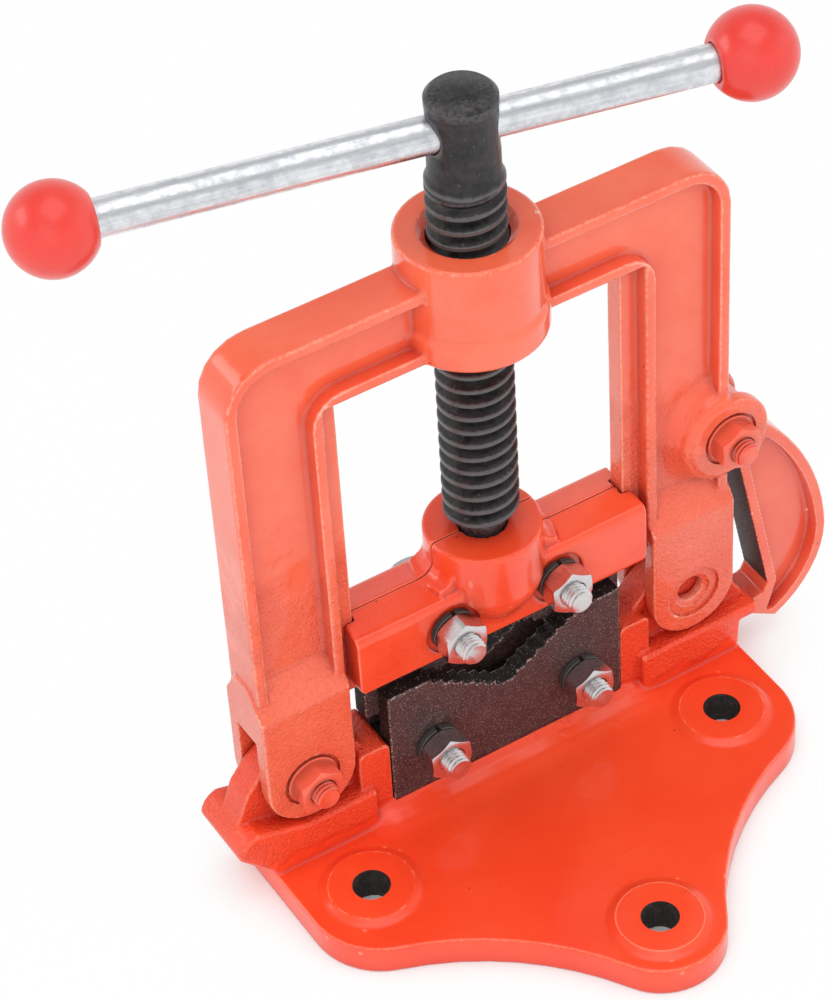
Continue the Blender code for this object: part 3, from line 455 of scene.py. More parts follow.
def gridMesh(name, rings, closedEnds=True, wrapped=True):
    # rings of equal length, joined into a skin, with a face at each end or the ends joined;
    # rings that aren't wrapped stay open, as the turns of a thread do
    shell = bmesh.new()
    rows = [[shell.verts.new(point) for point in points] for points in rings]
    count = len(rows[0])
    pairs = list(zip(rows, rows[1:]))
    if not closedEnds:
        pairs.append((rows[-1], rows[0]))
    used = count if wrapped else count - 1
    for upper, lower in pairs:
        for index in range(used):
            after = (index + 1) % count
            shell.faces.new((upper[index], upper[after], lower[after], lower[index]))
    if closedEnds:
        shell.faces.new(rows[0][:used][::-1])
        shell.faces.new(rows[-1][:used])
    return meshFrom(name, shell)


def ring(radius, height, count):
    return [
        (radius * cos(2 * pi * index / count), radius * sin(2 * pi * index / count), height)
        for index in range(count)
    ]


def turnedMesh(name, profile, count=64):
    return gridMesh(name, [ring(radius, height, count) for radius, height in profile])


threadForm = {"crestIn": 0.2, "crestOut": 0.8, "coreIn": 0.08, "fadePower": 0.6}


def threadMesh(name, thread, low, high, count=48):
    # a rod with a thread: each column climbs one pitch per turn, and the ends close on plain rings
    radius, core, pitch = thread["radius"], thread["core"], thread["pitch"]
    crest, flank, form = thread["crest"], thread["flank"], threadForm
    bend = thread["soft"] * (radius - core)
    marks = [
        (0, radius - bend), (crest * form["crestIn"], radius), (crest * form["crestOut"], radius),
        (crest, radius - bend), (crest + flank, core + bend),
        (crest + flank + form["coreIn"], core), (1 - flank - form["coreIn"], core), (1 - flank, core + bend),
    ]
    rows = []
    for turn in range(-1, ceil((high - low) / pitch) + 1):
        for share, reach in marks:
            row = []
            for index in range(count + 1):
                height = min(max(low + (turn + share + index / count) * pitch, low), high)
                faded = min(1, (high - height) / thread["fade"]) ** form["fadePower"]
                led = min(1, (height - low) / thread["lead"])
                around = thread["highRadius"] + (reach - thread["highRadius"]) * faded
                around = min(around, thread["lowRadius"] + (radius - thread["lowRadius"]) * led)
                angle = 2 * pi * index / count
                row.append((around * cos(angle), around * sin(angle), height))
            rows.append(row)
    return gridMesh(name, rows, wrapped=False)


hexForm = {"faceShare": 0.965, "cornerShare": 0.985, "lean": radians(30), "core": 0.2 * mm, "count": 72}


def hexMesh(name, across, height, bore=0.0, lead=0.0):
    # a hex body whose corners are turned off at both faces; a bore gets a small lead at each end
    count = hexForm["count"]
    face = across / 2 * hexForm["faceShare"]
    most = across / sqrt(3) * hexForm["cornerShare"]

    def hexRing(top):
        row = []
        for index in range(count):
            angle = 2 * pi * index / count
            around = min(across / 2 / cos(angle % (pi / 3) - pi / 6), most)
            fall = (around - face) * tan(hexForm["lean"])
            row.append((around * cos(angle), around * sin(angle), height - fall if top else fall))
        return row

    inner = bore + lead if bore else hexForm["core"]
    rings = [
        ring(inner, height, count), ring(face, height, count), hexRing(True),
        hexRing(False), ring(face, 0, count), ring(inner, 0, count),
    ]
    if bore:
        rings += [ring(bore, lead, count), ring(bore, height - lead, count)]
    return gridMesh(name, rings, closedEnds=not bore)


def centreOf(node):
    low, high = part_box(node)
    return (low + high) / 2, low, high


# castings: the frame's mesh with finer curves laid over it, skinned evenly, then bored

casting = {"plainShare": 5.0, "flow": 0.5, "soften": 3, "waveSize": 13.0 * mm, "waveDepth": 2}


def evaluated(guide, *helpers):
    # the guide's mesh as its modifiers make it; the guide and its helpers are then removed
    graph = bpy.context.evaluated_depsgraph_get()
    mesh = bpy.data.meshes.new_from_object(guide.evaluated_get(graph))
    for spent in (guide, *helpers):
        bpy.data.objects.remove(spent)
    return mesh


def carve(guide, toolMesh, action, solver):
    tool = addObject(guide.name + "Tool", toolMesh)
    step = guide.modifiers.new("carve", "BOOLEAN")
    step.operation = action
    step.solver = solver
    step.object = tool
    return tool


def castMesh(node, voxel, wave, extras, cuts, adds=()):
    mesh = joinMeshes(node + "Skin", [cadNodes[node].data.copy(), *extras], weldGap)
    guide = addObject(node + "Guide", mesh)
    skin = guide.modifiers.new("skin", "REMESH")
    skin.mode = "VOXEL"
    skin.voxel_size = voxel
    flow = guide.modifiers.new("flow", "SMOOTH")
    flow.factor = casting["flow"]
    flow.iterations = casting["soften"]
    waveTexture = bpy.data.textures.new(node + "Wave", "CLOUDS")
    waveTexture.noise_scale = casting["waveSize"]
    waveTexture.noise_depth = casting["waveDepth"]
    swell = guide.modifiers.new("swell", "DISPLACE")
    swell.texture = waveTexture
    swell.texture_coords = "LOCAL"
    swell.strength = wave
    swell.mid_level = 0.5
    tools = [carve(guide, tool, "UNION", "MANIFOLD") for tool in adds]
    tools += [carve(guide, tool, "DIFFERENCE", "MANIFOLD") for tool in cuts]
    return evaluated(guide, *tools)


def inMetres(values):
    # from millimetres, also all through a dictionary or a table of points
    if isinstance(values, dict):
        return {key: inMetres(value) for key, value in values.items()}
    return values * mm if isinstance(values, (int, float)) else [inMetres(value) for value in values]


def arcPoints(centre, radius, start, end, steps):
    points = []
    for step in range(steps + 1):
        angle = radians(start + (end - start) * step / steps)
        points.append((centre[0] + radius * cos(angle), centre[1] + radius * sin(angle)))
    return points


def arcThrough(first, middle, last, steps):
    # the circle through three points, from the first to the last past the middle one
    a, b, c = Vector(first), Vector(middle), Vector(last)
    span = 2 * (b - a).cross(c - a)
    toB, toC = (b - a).length_squared, (c - a).length_squared
    offset = Vector((((c - a).y * toB - (b - a).y * toC) / span, ((b - a).x * toC - (c - a).x * toB) / span))
    centre = a + offset
    start, through, end = (bearing(centre, point) for point in (a, b, c))
    sweep = (end - start) % 360
    if (through - start) % 360 > sweep:
        sweep -= 360
    return arcPoints(centre, offset.length, start, start + sweep, steps)


def bearing(centre, point):
    return degrees(atan2(point[1] - centre[1], point[0] - centre[0]))


def roundedSection(deep, low, high, lowRound, highRound, steps=4):
    # the outer part of a plate as (inward, level) points
    points = [(deep, low)]
    for level, bow, start in ((low, lowRound, -90), (high, highRound, 0)):
        middle = (bow, level + bow if start else level - bow)
        points += [(2 * middle[0] - u, v) for u, v in arcPoints(middle, bow, start, start + 90, steps)]
    return points + [(deep, high)]


def bandMesh(name, path, section, closed, upright):
    # carries a section along a path whose inner side is on the left
    rings = []
    count = len(path)
    for index, here in enumerate(path):
        before = path[index - 1] if closed or index else here
        after = path[(index + 1) % count] if closed or index < count - 1 else here
        along = (Vector(after) - Vector(before)).normalized()
        row = []
        for inward, level in section:
            u, v = here[0] - along.y * inward, here[1] + along.x * inward
            row.append((u, level, v) if upright else (u, v, level))
        rings.append(row)
    return gridMesh(name, rings, closedEnds=not closed)


def settled(mesh, centre, forward):
    # puts a turned piece in place; forward lays its axis to the front
    if forward:
        mesh.transform(Matrix.Rotation(pi / 2, 4, "X"))
    mesh.transform(Matrix.Translation(centre))
    return mesh


def ringMesh(name, profile, centre=(0, 0, 0), forward=False, start=0, end=360, count=96):
    # a closed profile turned about an axis, right round or between two angles
    whole = end - start == 360
    rings = []
    for step in range(count if whole else count + 1):
        angle = radians(start + (end - start) * step / count)
        rings.append([(radius * cos(angle), radius * sin(angle), height) for radius, height in profile])
    return settled(gridMesh(name, rings, closedEnds=not whole), centre, forward)


def drill(centre, radius, low, high, forward=True):
    # a round cutter; with forward its levels count towards the front
    axis = nearAxis["tool"]
    profile = [(axis, high), (radius, high), (radius, low), (axis, low)]
    return settled(turnedMesh("drill", profile, 96), centre, forward)


def seatCut(centre, radius, side, deep, proud):
    # a round seat in the front face (side 1) or the rear face (side -1)
    return drill(centre, radius, *sorted((side * deep, side * proud)))


def sided(pairs, side):
    # a profile whose levels count to the front or to the rear
    return [(radius, side * level) for radius, level in pairs]


foot = inMetres({
    "thick": 10, "round": 1.8, "underRound": 0.8, "rimWidth": 6,
    "rearCorner": (76.2, 8.0), "rearRadius": 6, "waistRadius": 95,
    "lobe": (59.5, -33.5), "lobeRadius": 22.7,
    "nose": (0.0, -87.9), "noseRadius": 19.3,
    "holes": ((-61.8, -31.3), (61.8, -31.3), (0.0, -87.9)),
    "holeRadius": 5.62, "holeLevels": (-1, 13), "holeSkin": 0.05,
    "padSection": (
        (3.0, 9.0), (3.0, 11.26), (12.5, 11.26), (13.0, 11.18), (13.4, 11.0), (13.8, 10.75),
        (14.7, 10.3), (15.1, 10.13), (15.6, 10.03), (16.2, 9.98), (16.8, 9.95), (16.8, 9.0),
    ),
    "bead": (
        (-9.55, 9.0), (-9.55, 14.7), (-10.6, 13.6), (-12.5, 12.4), (-15.5, 11.2), (-19.0, 10.35),
        (-23.0, 9.9),
    ),
    "beadBed": 9.7,
    "gapReach": 39.5, "gapDeep": 3.6, "gapFloor": 20,
})
foot["wallLean"] = 0.5
# where the bead fades out: the distance from the middle, and the share of its height left there
foot["beadFade"] = [
    (55.0 * mm, 0.0), (51.5 * mm, 0.12), (48.0 * mm, 0.42), (45.0 * mm, 0.75), (42.5 * mm, 0.95),
    (41.0 * mm, 1.0),
]


def footPath():
    lobe, nose = Vector(foot["lobe"]), Vector(foot["nose"])
    waist = foot["waistRadius"]
    toLobe = waist + foot["lobeRadius"]
    toNose = waist + foot["noseRadius"]
    apart = (nose - lobe).length
    along = (toLobe**2 - toNose**2 + apart**2) / (2 * apart)
    line = (nose - lobe).normalized()
    centre = lobe + line * along + Vector((-line.y, line.x)) * sqrt(toLobe**2 - along**2)
    half = arcPoints(foot["rearCorner"], foot["rearRadius"], 90, 0, 12)
    half += arcPoints(lobe, foot["lobeRadius"], 0, bearing(lobe, centre), 40)
    half += arcPoints(centre, waist, bearing(centre, lobe), bearing(centre, nose) % 360, 40)[1:-1]
    half += arcPoints(nose, foot["noseRadius"], bearing(nose, centre), -90, 30)
    whole = half + [(-x, y) for x, y in reversed(half[:-1])]
    return whole[::-1]


def baseDetail():
    rim = roundedSection(foot["rimWidth"], 0, foot["thick"], foot["underRound"], foot["round"])
    cuts, adds = [], []
    for x, y in foot["holes"]:
        adds.append(ringMesh("pad", foot["padSection"], (x, y, 0)))
        cuts.append(drill((x, y, 0), foot["holeRadius"], *foot["holeLevels"], False))
    bed, under = foot["beadBed"], foot["bead"][0][1]
    bead = []
    for x, share in [(-x, share) for x, share in foot["beadFade"]] + foot["beadFade"][::-1]:
        line = [(y, bed + (z - bed) * share) for y, z in foot["bead"][1:]]
        line += [(line[-1][0], under), (line[0][0], under)]
        bead.append([(x, y, z) for y, z in line])
    return [bandMesh("footRim", footPath(), rim, True, False), gridMesh("paintBead", bead)], cuts, adds


def inBoltHole(face):
    # bare iron shows inside the bench bolt holes
    centre, reach = face.center, foot["holeRadius"] + foot["holeSkin"]
    upright = abs(face.normal.z) <= foot["wallLean"]
    return upright and any(hypot(centre.x - x, centre.y - y) < reach for x, y in foot["holes"])


def jawGapInShade(face):
    # painted shade: the thin wall between the lower jaws is blackened, as shade fills the gap
    centre = face.center
    inside = abs(centre.x) < foot["gapReach"] and abs(centre.y) < foot["gapDeep"]
    return inside and centre.z > foot["gapFloor"]


arch = inMetres({
    "halfWidth": 80.3, "top": 196.5, "foot": 66.5, "cornerRadius": 15,
    "halfDepth": 7.9, "round": 1.5, "rim": 3.6,
    "boss": (
        (14.0, 172.5), (14.0, 205.5), (19.4, 205.5), (20.1, 205.2), (20.35, 204.5), (20.35, 182.4),
        (20.6, 181.6), (21.3, 180.6), (21.5, 179.8), (21.5, 173.2), (21.1, 172.3), (20.2, 172.0),
    ),
    "bossBore": 11.4, "boreLevels": (168, 210),
    "mouth": ((0.02, 210.0), (15.7, 210.0), (13.7, 205.5), (11.6, 203.3), (0.02, 203.3)),
    "pivots": ((-66.5, 40.0), (66.5, 40.0)), "forkRadius": 14.5, "forkFace": 10.2,
    "forkInner": 5.2, "forkRound": 0.8, "forkDeep": 4, "seatRadius": 9.05,
    "seatDepth": 1.05, "pivotHole": 4.3, "through": 12,
    "openPlug": ((4.0, 5.3), (4.0, 9.6), (8.0, 9.6), (8.0, 5.3)),
    "openLip": (
        (0.02, 5.0), (0.02, 10.4), (6.2, 10.4), (6.1, 8.9), (5.5, 8.55), (4.6, 8.2), (4.3, 7.6),
        (4.3, 5.0),
    ),
    "ear": (79.0, 96.0), "earFace": 10.5,
    "cone": (
        (12.8, 2.9), (12.8, 9.5), (14.0, 9.5), (14.9, 9.1), (15.4, 8.4), (16.0, 6.9), (17.4, 5.0),
        (19.2, 3.6), (21.0, 3.0),
    ),
    "disc": ((8.0, 5.6), (8.0, 10.5), (12.6, 10.5), (13.3, 10.2), (13.6, 9.6), (13.6, 6.2), (13.0, 5.6)),
})
arch |= {"coneArc": (88, 272), "discArc": (0, 360)}


def yokeDetail():
    corner = arch["cornerRadius"]
    right, up = arch["halfWidth"] - corner, arch["top"] - corner
    path = [(arch["halfWidth"], arch["foot"]), *arcPoints((right, up), corner, 0, 90, 24)]
    path += [(-x, z) for x, z in reversed(path)]
    half, bow = arch["halfDepth"], arch["round"]
    extras = [
        bandMesh("archRim", path, roundedSection(arch["rim"], -half, half, bow, bow), False, True),
        ringMesh("boss", arch["boss"]),
    ]
    cuts = [
        drill((0, 0, 0), arch["bossBore"], *arch["boreLevels"], False),
        ringMesh("mouth", arch["mouth"]),
    ]
    face, inner, deep = arch["forkFace"], arch["forkInner"], arch["forkDeep"]
    seat, sunk, through = arch["seatRadius"], arch["seatDepth"], arch["through"]
    for x, z in arch["pivots"]:
        bottom = arcPoints((x, z), arch["forkRadius"], 180, 360, 60)
        for low, high in ((-face, -inner), (inner, face)):
            section = roundedSection(deep, low, high, arch["forkRound"], arch["forkRound"])
            extras.append(bandMesh("forkFoot", bottom, section, False, True))
        for side in (1, -1):
            cuts.append(seatCut((x, 0, z), seat, side, face - sunk, face + mm))
            if x > 0:
                extras.append(ringMesh("openPlug", sided(arch["openPlug"], side), (x, 0, z), True))
                cuts.append(ringMesh("openLip", sided(arch["openLip"], side), (x, 0, z), True))
    ear = (arch["ear"][0], 0, arch["ear"][1])
    for key in ("cone", "disc"):
        for side in (1, -1):
            extras.append(ringMesh(key, sided(arch[key], side), ear, True, *arch[key + "Arc"]))
    for side in (1, -1):
        cuts.append(seatCut(ear, seat, side, arch["earFace"] - sunk, through))
    for x, z in (arch["pivots"][0], arch["ear"]):
        cuts.append(drill((x, 0, z), arch["pivotHole"], -through, through))
    return extras, cuts


hook = inMetres({
    "pivot": (79.0, 96.0), "reach": 36.0, "length": 88.6, "rim": 3.5, "halfDepth": 6.4, "round": 0.8,
    "flatShave": 0.06, "flatEnd": 2, "cutDeep": 3, "cutHalf": 8, "flatSkin": 0.12,
})
# the outline's points, as shares of its reach and length from the pivot
hook |= {
    "tilt": 2.7, "belly": (0.460, 1.000), "lowerBack": (0.826, 0.881), "back": (1.000, 0.615),
    "upperBack": (0.850, 0.350), "shoulder": (0.417, 0.062),
    "flatTop": (0.160, 0.215), "flatBottom": (0.394, 0.821), "flatLean": 0.4,
}


def hookPoint(key, shift=0.0):
    out, down = hook[key]
    turn = radians(hook["tilt"])
    x, z = hook["reach"] * out + shift, -hook["length"] * down
    return (
        hook["pivot"][0] + x * cos(turn) - z * sin(turn),
        hook["pivot"][1] + x * sin(turn) + z * cos(turn),
    )


def flatEnds():
    return [Vector(hookPoint(key, hook["flatShave"])) for key in ("flatTop", "flatBottom")]


def hookDetail():
    outer = arcThrough(hookPoint("belly"), hookPoint("lowerBack"), hookPoint("back"), 40)[:-1]
    outer += arcThrough(hookPoint("back"), hookPoint("upperBack"), hookPoint("shoulder"), 40)
    half, bow = hook["halfDepth"], hook["round"]
    rim = bandMesh("hookRim", outer, roundedSection(hook["rim"], -half, half, bow, bow), False, True)
    top, bottom = flatEnds()
    lean = (bottom - top).normalized()
    start, end = top + lean * hook["flatEnd"], bottom - lean * hook["flatEnd"]
    out = Vector((lean.y, -lean.x)) * hook["cutDeep"]
    slab = (start, end, end + out, start + out)
    ends = [[(point.x, level, point.y) for point in slab] for level in (-hook["cutHalf"], hook["cutHalf"])]
    return [rim], [gridMesh("flatCutter", ends)]


def onHookFlat(face):
    # the flat that faces the yoke is ground and left bare
    centre = face.center
    top, bottom = flatEnds()
    off = (Vector((centre.x, centre.z)) - top).cross((bottom - top).normalized())
    facing = abs(off) < hook["flatSkin"] and abs(face.normal.y) < hook["flatLean"]
    return facing and bottom.y < centre.z < top.y


hub = inMetres({
    "profile": ((13.0, 80.0), (13.0, 98.5), (16.4, 98.5), (17.0, 98.2), (17.25, 97.6), (17.25, 80.0)),
    "taper": (
        (8.4, 68.0), (8.4, 80.2), (17.25, 80.2), (17.0, 78.6), (15.9, 75.9), (13.6, 71.6), (11.3, 68.0),
    ),
    "boltX": 18.0, "boltZ": 74.0, "face": 11.0,
    "seatRadius": 8.5, "seatDepth": 1.05, "clear": 20,
})
hub |= {"profileArc": 89, "taperArc": 56}


def carriageDetail(side):
    middle = 270 if side > 0 else 90
    extras = [
        ringMesh(key, hub[key], start=middle - hub[key + "Arc"], end=middle + hub[key + "Arc"], count=count)
        for key, count in (("profile", 96), ("taper", 60))
    ]
    deep = hub["face"] - hub["seatDepth"]
    cuts = [
        seatCut((x, 0, hub["boltZ"]), hub["seatRadius"], side, deep, hub["clear"])
        for x in (-hub["boltX"], hub["boltX"])
    ]
    return extras, cuts


# each casting: node, body, finish, slot, voxel, height of the waves, detail
castings = {
    "baseBody": ("base_casting", "base", "basePaint", "base_paint", 0.50 * mm, 0.02 * mm, baseDetail()),
    "yokeBody": ("yoke_casting", "yoke", "yokePaint", "yoke_paint", 0.50 * mm, 0.12 * mm, yokeDetail()),
    "latchHook": ("latch_hook", "latch", "hookPaint", "yoke_paint", 0.40 * mm, 0.08 * mm, hookDetail()),
}
for name, side in (("front", 1), ("rear", -1)):
    castings["carriage" + name.title()] = (
        f"carriage_{name}_half", "carriage", "carriagePaint", "base_paint", 0.40 * mm, 0.06 * mm,
        carriageDetail(side)
    )


def paintPart(mesh, finish, chosen):
    # a second finish on the faces that the test picks
    mesh.materials.append(finishes[finish])
    last = len(mesh.materials) - 1
    for face in mesh.polygons:
        if chosen(face):
            face.material_index = last


for name, (node, body, finish, slotName, voxel, wave, detail) in castings.items():
    mesh = castMesh(node, voxel, wave, *detail)
    addPiece(name, mesh, finish, body, [node], creaseAngle=50)
    paintPart(mesh, finish + "Plain", lambda face, limit=casting["plainShare"] * voxel**2: face.area > limit)
    if name == "baseBody":
        paintPart(mesh, "bareIron", inBoltHole)
        # painted shade on the wall in the jaw gap
        paintPart(mesh, "jawEdge", jawGapInShade)
    if name == "latchHook":
        paintPart(mesh, "bareIron", onHookFlat)
    print("pipe vise: casting", name, len(mesh.polygons))


# clamp screw

# the head's profile counts from the screw's top, the end's from its bottom
clampScrew = inMetres({
    "thread": {
        "radius": 11.0, "core": 8.35, "pitch": 5.0, "fade": 7.0, "lead": 2.2, "lowRadius": 7.05,
        "highRadius": 10.9,
    },
    "threadStart": 17.5, "shoulder": 27.6,
    "head": (
        (0.3, 0.0), (8.45, 0.0), (8.6, -0.1), (9.8, -1.3), (9.9, -1.5), (9.9, -3.65), (9.78, -3.9),
        (9.75, -4.1), (9.65, -11.0), (9.75, -17.0), (9.9, -19.0), (9.9, -25.6), (10.2, -26.1),
        (10.9, -27.4), (10.9, -28.1), (0.3, -28.1),
    ),
    "end": (
        (0.3, 18.5), (7.0, 18.5), (7.0, 7.5), (9.6, 7.5), (10.0, 7.1), (10.0, 0.4), (9.6, 0.0),
        (0.3, 0.0),
    ),
    "barWay": ((0.1, 15.0), (5.65, 15.0), (5.65, -15.0), (0.1, -15.0)),
})
clampScrew["thread"] |= {"crest": 0.34, "flank": 0.15, "soft": 0.16}


def lifted(pairs, height):
    return [(radius, level + height) for radius, level in pairs]


def makeClampScrew():
    low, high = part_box("clamp_screw")
    barLow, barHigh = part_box("tommy_bar")
    guide = addObject("headGuide", turnedMesh("screwHead", lifted(clampScrew["head"], high.z), 96))
    way = turnedMesh("barWay", clampScrew["barWay"])
    way.transform(alongBar(Vector((0, 0, (barLow.z + barHigh.z) / 2))))
    holed = evaluated(guide, carve(guide, way, "DIFFERENCE", "EXACT"))
    start, shoulder = low.z + clampScrew["threadStart"], high.z - clampScrew["shoulder"]
    threadPart = threadMesh("screwThread", clampScrew["thread"], start, shoulder, 96)
    end = turnedMesh("screwEnd", lifted(clampScrew["end"], low.z))
    whole = joinMeshes("clampScrewBody", [holed, threadPart, end])
    addPiece("clampScrewBody", whole, "screwSteel", "screw", ["clamp_screw"])


def alongBar(place):
    # from an upright piece to one that lies along the bar
    axis = next(joint["axis"] for joint in frame["joints"] if joint["name"] == "bar_slide")
    return Matrix.Translation(place) @ Vector(axis).to_track_quat("Z", "X").to_matrix().to_4x4()


makeClampScrew()
print("pipe vise: clamp screw threaded")


# tommy bar and knobs

# socket counts outwards from the bar and up from the mouth, mouthEdge from the mouth's edge
barAndKnobs = inMetres({
    "barRadius": 5.25, "barChamfer": 0.8, "barPlunge": 9.0, "knobRadius": 12.8,
    "socket": ((0.25, -9.7), (0.25, -0.3), (0.5, 0.0)), "mouthEdge": ((-0.9, 0.0), (-0.3, 0.02)),
})
barAndKnobs |= {"mouthShare": 0.84, "edgeTurn": 0.02, "steps": 40}


def makeBarAndKnobs():
    radius, barRadius, chamfer = (barAndKnobs[key] for key in ("knobRadius", "barRadius", "barChamfer"))
    mouth = radius * barAndKnobs["mouthShare"]
    mouthRadius = sqrt(radius**2 - mouth**2)
    profile = [(barRadius + out, mouth + up) for out, up in barAndKnobs["socket"]]
    profile += [(mouthRadius + out, mouth + up) for out, up in barAndKnobs["mouthEdge"]]
    first = asin(mouth / radius) - barAndKnobs["edgeTurn"]
    for step in range(barAndKnobs["steps"] + 1):
        angle = first + (-pi / 2 - first) * step / barAndKnobs["steps"]
        profile.append((max(radius * cos(angle), nearAxis["part"]), radius * sin(angle)))
    direction = alongBar(Vector()).to_3x3() @ Vector((0, 0, 1))
    ends = []
    for side, sign in (("left", -1), ("right", 1)):
        centre, low, high = centreOf("ball_knob_" + side)
        reachX = abs(high.x if sign > 0 else low.x) - radius
        ends.append(Vector((sign * reachX, sign * reachX * direction.y / direction.x, centre.z)))
        mesh = turnedMesh("knob", profile, 72)
        mesh.transform(alongBar(ends[-1]) @ Matrix.Rotation(pi if sign > 0 else 0, 4, "X"))
        addPiece("knob" + side.title(), mesh, "knobPlastic", "bar", ["ball_knob_" + side])
    half = (ends[1] - ends[0]).length / 2 - mouth + barAndKnobs["barPlunge"]
    upper = [(nearAxis["part"], half), (barRadius - chamfer, half), (barRadius, half - chamfer)]
    rod = turnedMesh("tommyBarRod", upper + [(out, -level) for out, level in reversed(upper)], 64)
    rod.transform(alongBar((ends[0] + ends[1]) / 2))
    addPiece("tommyBarRod", rod, "barZinc", "bar", ["tommy_bar"])


makeBarAndKnobs()
print("pipe vise: tommy bar and knobs")


# jaw plates

jawPlates = inMetres({
    "run": 25.0 / 7, "rise": 15.5 / 7, "veeHalf": 25.0, "rootRadius": 1.55, "chamfer": 0.45,
    "weld": 0.004, "hole": 4.3,
})
jawPlates |= {"teeth": 7, "rootSteps": 4, "faceLean": 0.97, "rimLean": 0.3}


def veeOutline(half, biting, rise, plain):
    # one straight edge, then the V of scooped teeth, from the right end to the left
    run, root, steps = jawPlates["run"], jawPlates["rootRadius"], jawPlates["rootSteps"]
    side = 1 if rise > 0 else -1
    points = [(half, plain), (half, biting)]
    for tooth in range(jawPlates["teeth"]):
        x = jawPlates["veeHalf"] - run * tooth
        z = biting - rise * tooth
        points.append((x, z))
        for step in range(steps + 1):
            angle = pi / 2 * step / steps
            points.append((x - root + root * cos(angle), z - rise + side * (root - root * sin(angle))))
    points.append((0.0, biting - rise * jawPlates["teeth"]))
    return points + [(-x, z) for x, z in reversed(points[:-1])]


def plateMesh(name, outline, holes, low, high, chamfer):
    curve = bpy.data.curves.new(name, "CURVE")
    curve.dimensions = "2D"
    curve.fill_mode = "BOTH"
    curve.extrude = (high - low) / 2 - chamfer
    curve.bevel_depth = chamfer
    curve.bevel_resolution = 1
    curve.offset = -chamfer
    for points in [outline, *holes]:
        spline = curve.splines.new("POLY")
        spline.points.add(len(points) - 1)
        spline.use_cyclic_u = True
        for point, (x, z) in zip(spline.points, points):
            point.co = (x, z, 0, 1)
    mesh = joinMeshes(name, [evaluated(addObject(name, curve))], jawPlates["weld"], True)
    return settled(mesh, (0, (low + high) / 2, 0), True)


def makeJawPlates():
    for name, node, body, opens in (
        ("lowerJawFront", "lower_jaw_front", "base", 1),
        ("lowerJawRear", "lower_jaw_rear", "base", 1),
        ("upperJawPlate", "upper_jaw", "carriage", -1),
    ):
        centre, low, high = centreOf(node)
        biting, plain = (high.z, low.z) if opens > 0 else (low.z, high.z)
        holes = []
        for side in ("left", "right"):
            bolt = centreOf(f"{'lower_jaw' if opens > 0 else 'carriage'}_{side}_bolt")[0]
            holes.append(arcPoints((bolt.x, bolt.z), jawPlates["hole"], 0, 360, 40)[:-1])
        outline = veeOutline(high.x, biting, opens * jawPlates["rise"], plain)
        mesh = plateMesh(name, outline, holes, low.y, high.y, jawPlates["chamfer"])
        addPiece(name, mesh, "jawFace", body, [node], creaseAngle=10)
        for finish, lean in (("jawRim", "faceLean"), ("jawEdge", "rimLean")):
            paintPart(mesh, finish, lambda face, limit=jawPlates[lean]: abs(face.normal.y) <= limit)


makeJawPlates()
print("pipe vise: jaw plates cut")


# bolts, nuts and washers

fastening = inMetres({
    "across": 13, "headHeight": 5.3, "nutLead": 0.7, "nutPlay": 0.35, "threadInset": 1.0,
    "threadLap": 0.2, "headLap": 0.5,
    "thread": {
        "pitch": 1.25, "core": 3.3, "radius": 4.0, "fade": 1.0, "lead": 0.8, "highRadius": 3.2,
        "lowRadius": 4.0,
    },
    "flatWasher": ((4.3, 1.0), (7.75, 1.0), (8.0, 0.75), (8.0, 0.0), (4.3, 0.0)),
    "springWasher": {"inside": 4.3, "spring": 0.12, "edge": 0.18},
})
fastening["thread"] |= {"crest": 0.18, "flank": 0.28, "soft": 0.12}
fastening["springWasher"] |= {"gap": radians(10), "steps": 60}


def camelName(label):
    words = label.split("_")
    return words[0] + "".join(word.title() for word in words[1:])


def makeFastener(label, body, pivot):
    finish, slotName = ("pivotPaint", "yoke_paint") if pivot else ("nutZinc", "bright_zinc")
    nutCentre, nutLow, nutHigh = centreOf(label + "_nut")
    boltLow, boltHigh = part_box(label + "_bolt")
    inner, outer, tip = -nutHigh.y, -nutLow.y, -boltLow.y
    centre, seat = (Vector((nutCentre.x, -level, nutCentre.z)) for level in (0, inner))
    thread, across, headHeight = (fastening[key] for key in ("thread", "across", "headHeight"))
    name = camelName(label)
    nut = hexMesh(name, across, outer - inner, thread["core"] + fastening["nutPlay"], fastening["nutLead"])
    nut.transform(Matrix.Rotation(pi / 6, 4, "Z"))
    settled(nut, seat, True)
    if pivot:
        nut = joinMeshes(name, [nut, ringMesh("washer", fastening["flatWasher"], seat, True, count=64)])
    addPiece(name + "Nut", nut, finish, body, [label + "_nut"])
    headTop = boltHigh.y
    threadStart = inner - fastening["threadInset"]
    shankEnd = threadStart + fastening["threadLap"]
    shankStart = headHeight - headTop - fastening["headLap"]
    axis, radius = nearAxis["part"], thread["radius"]
    shank = [(axis, shankEnd), (radius, shankEnd), (radius, shankStart), (axis, shankStart)]
    end = threadMesh(name, thread, threadStart, tip, 40)
    head = hexMesh(name, across, headHeight)
    head.transform(Matrix.Translation((0, 0, -headTop)))
    bolt = settled(joinMeshes(name, [turnedMesh(name, shank, 40), end, head]), centre, True)
    addPiece(name + "Bolt", bolt, finish, body, [label + "_bolt"], creaseAngle=30)
    if not pivot:
        makeSpringWasher(name + "SpringWasher", label + "_spring_washer", centre, body)


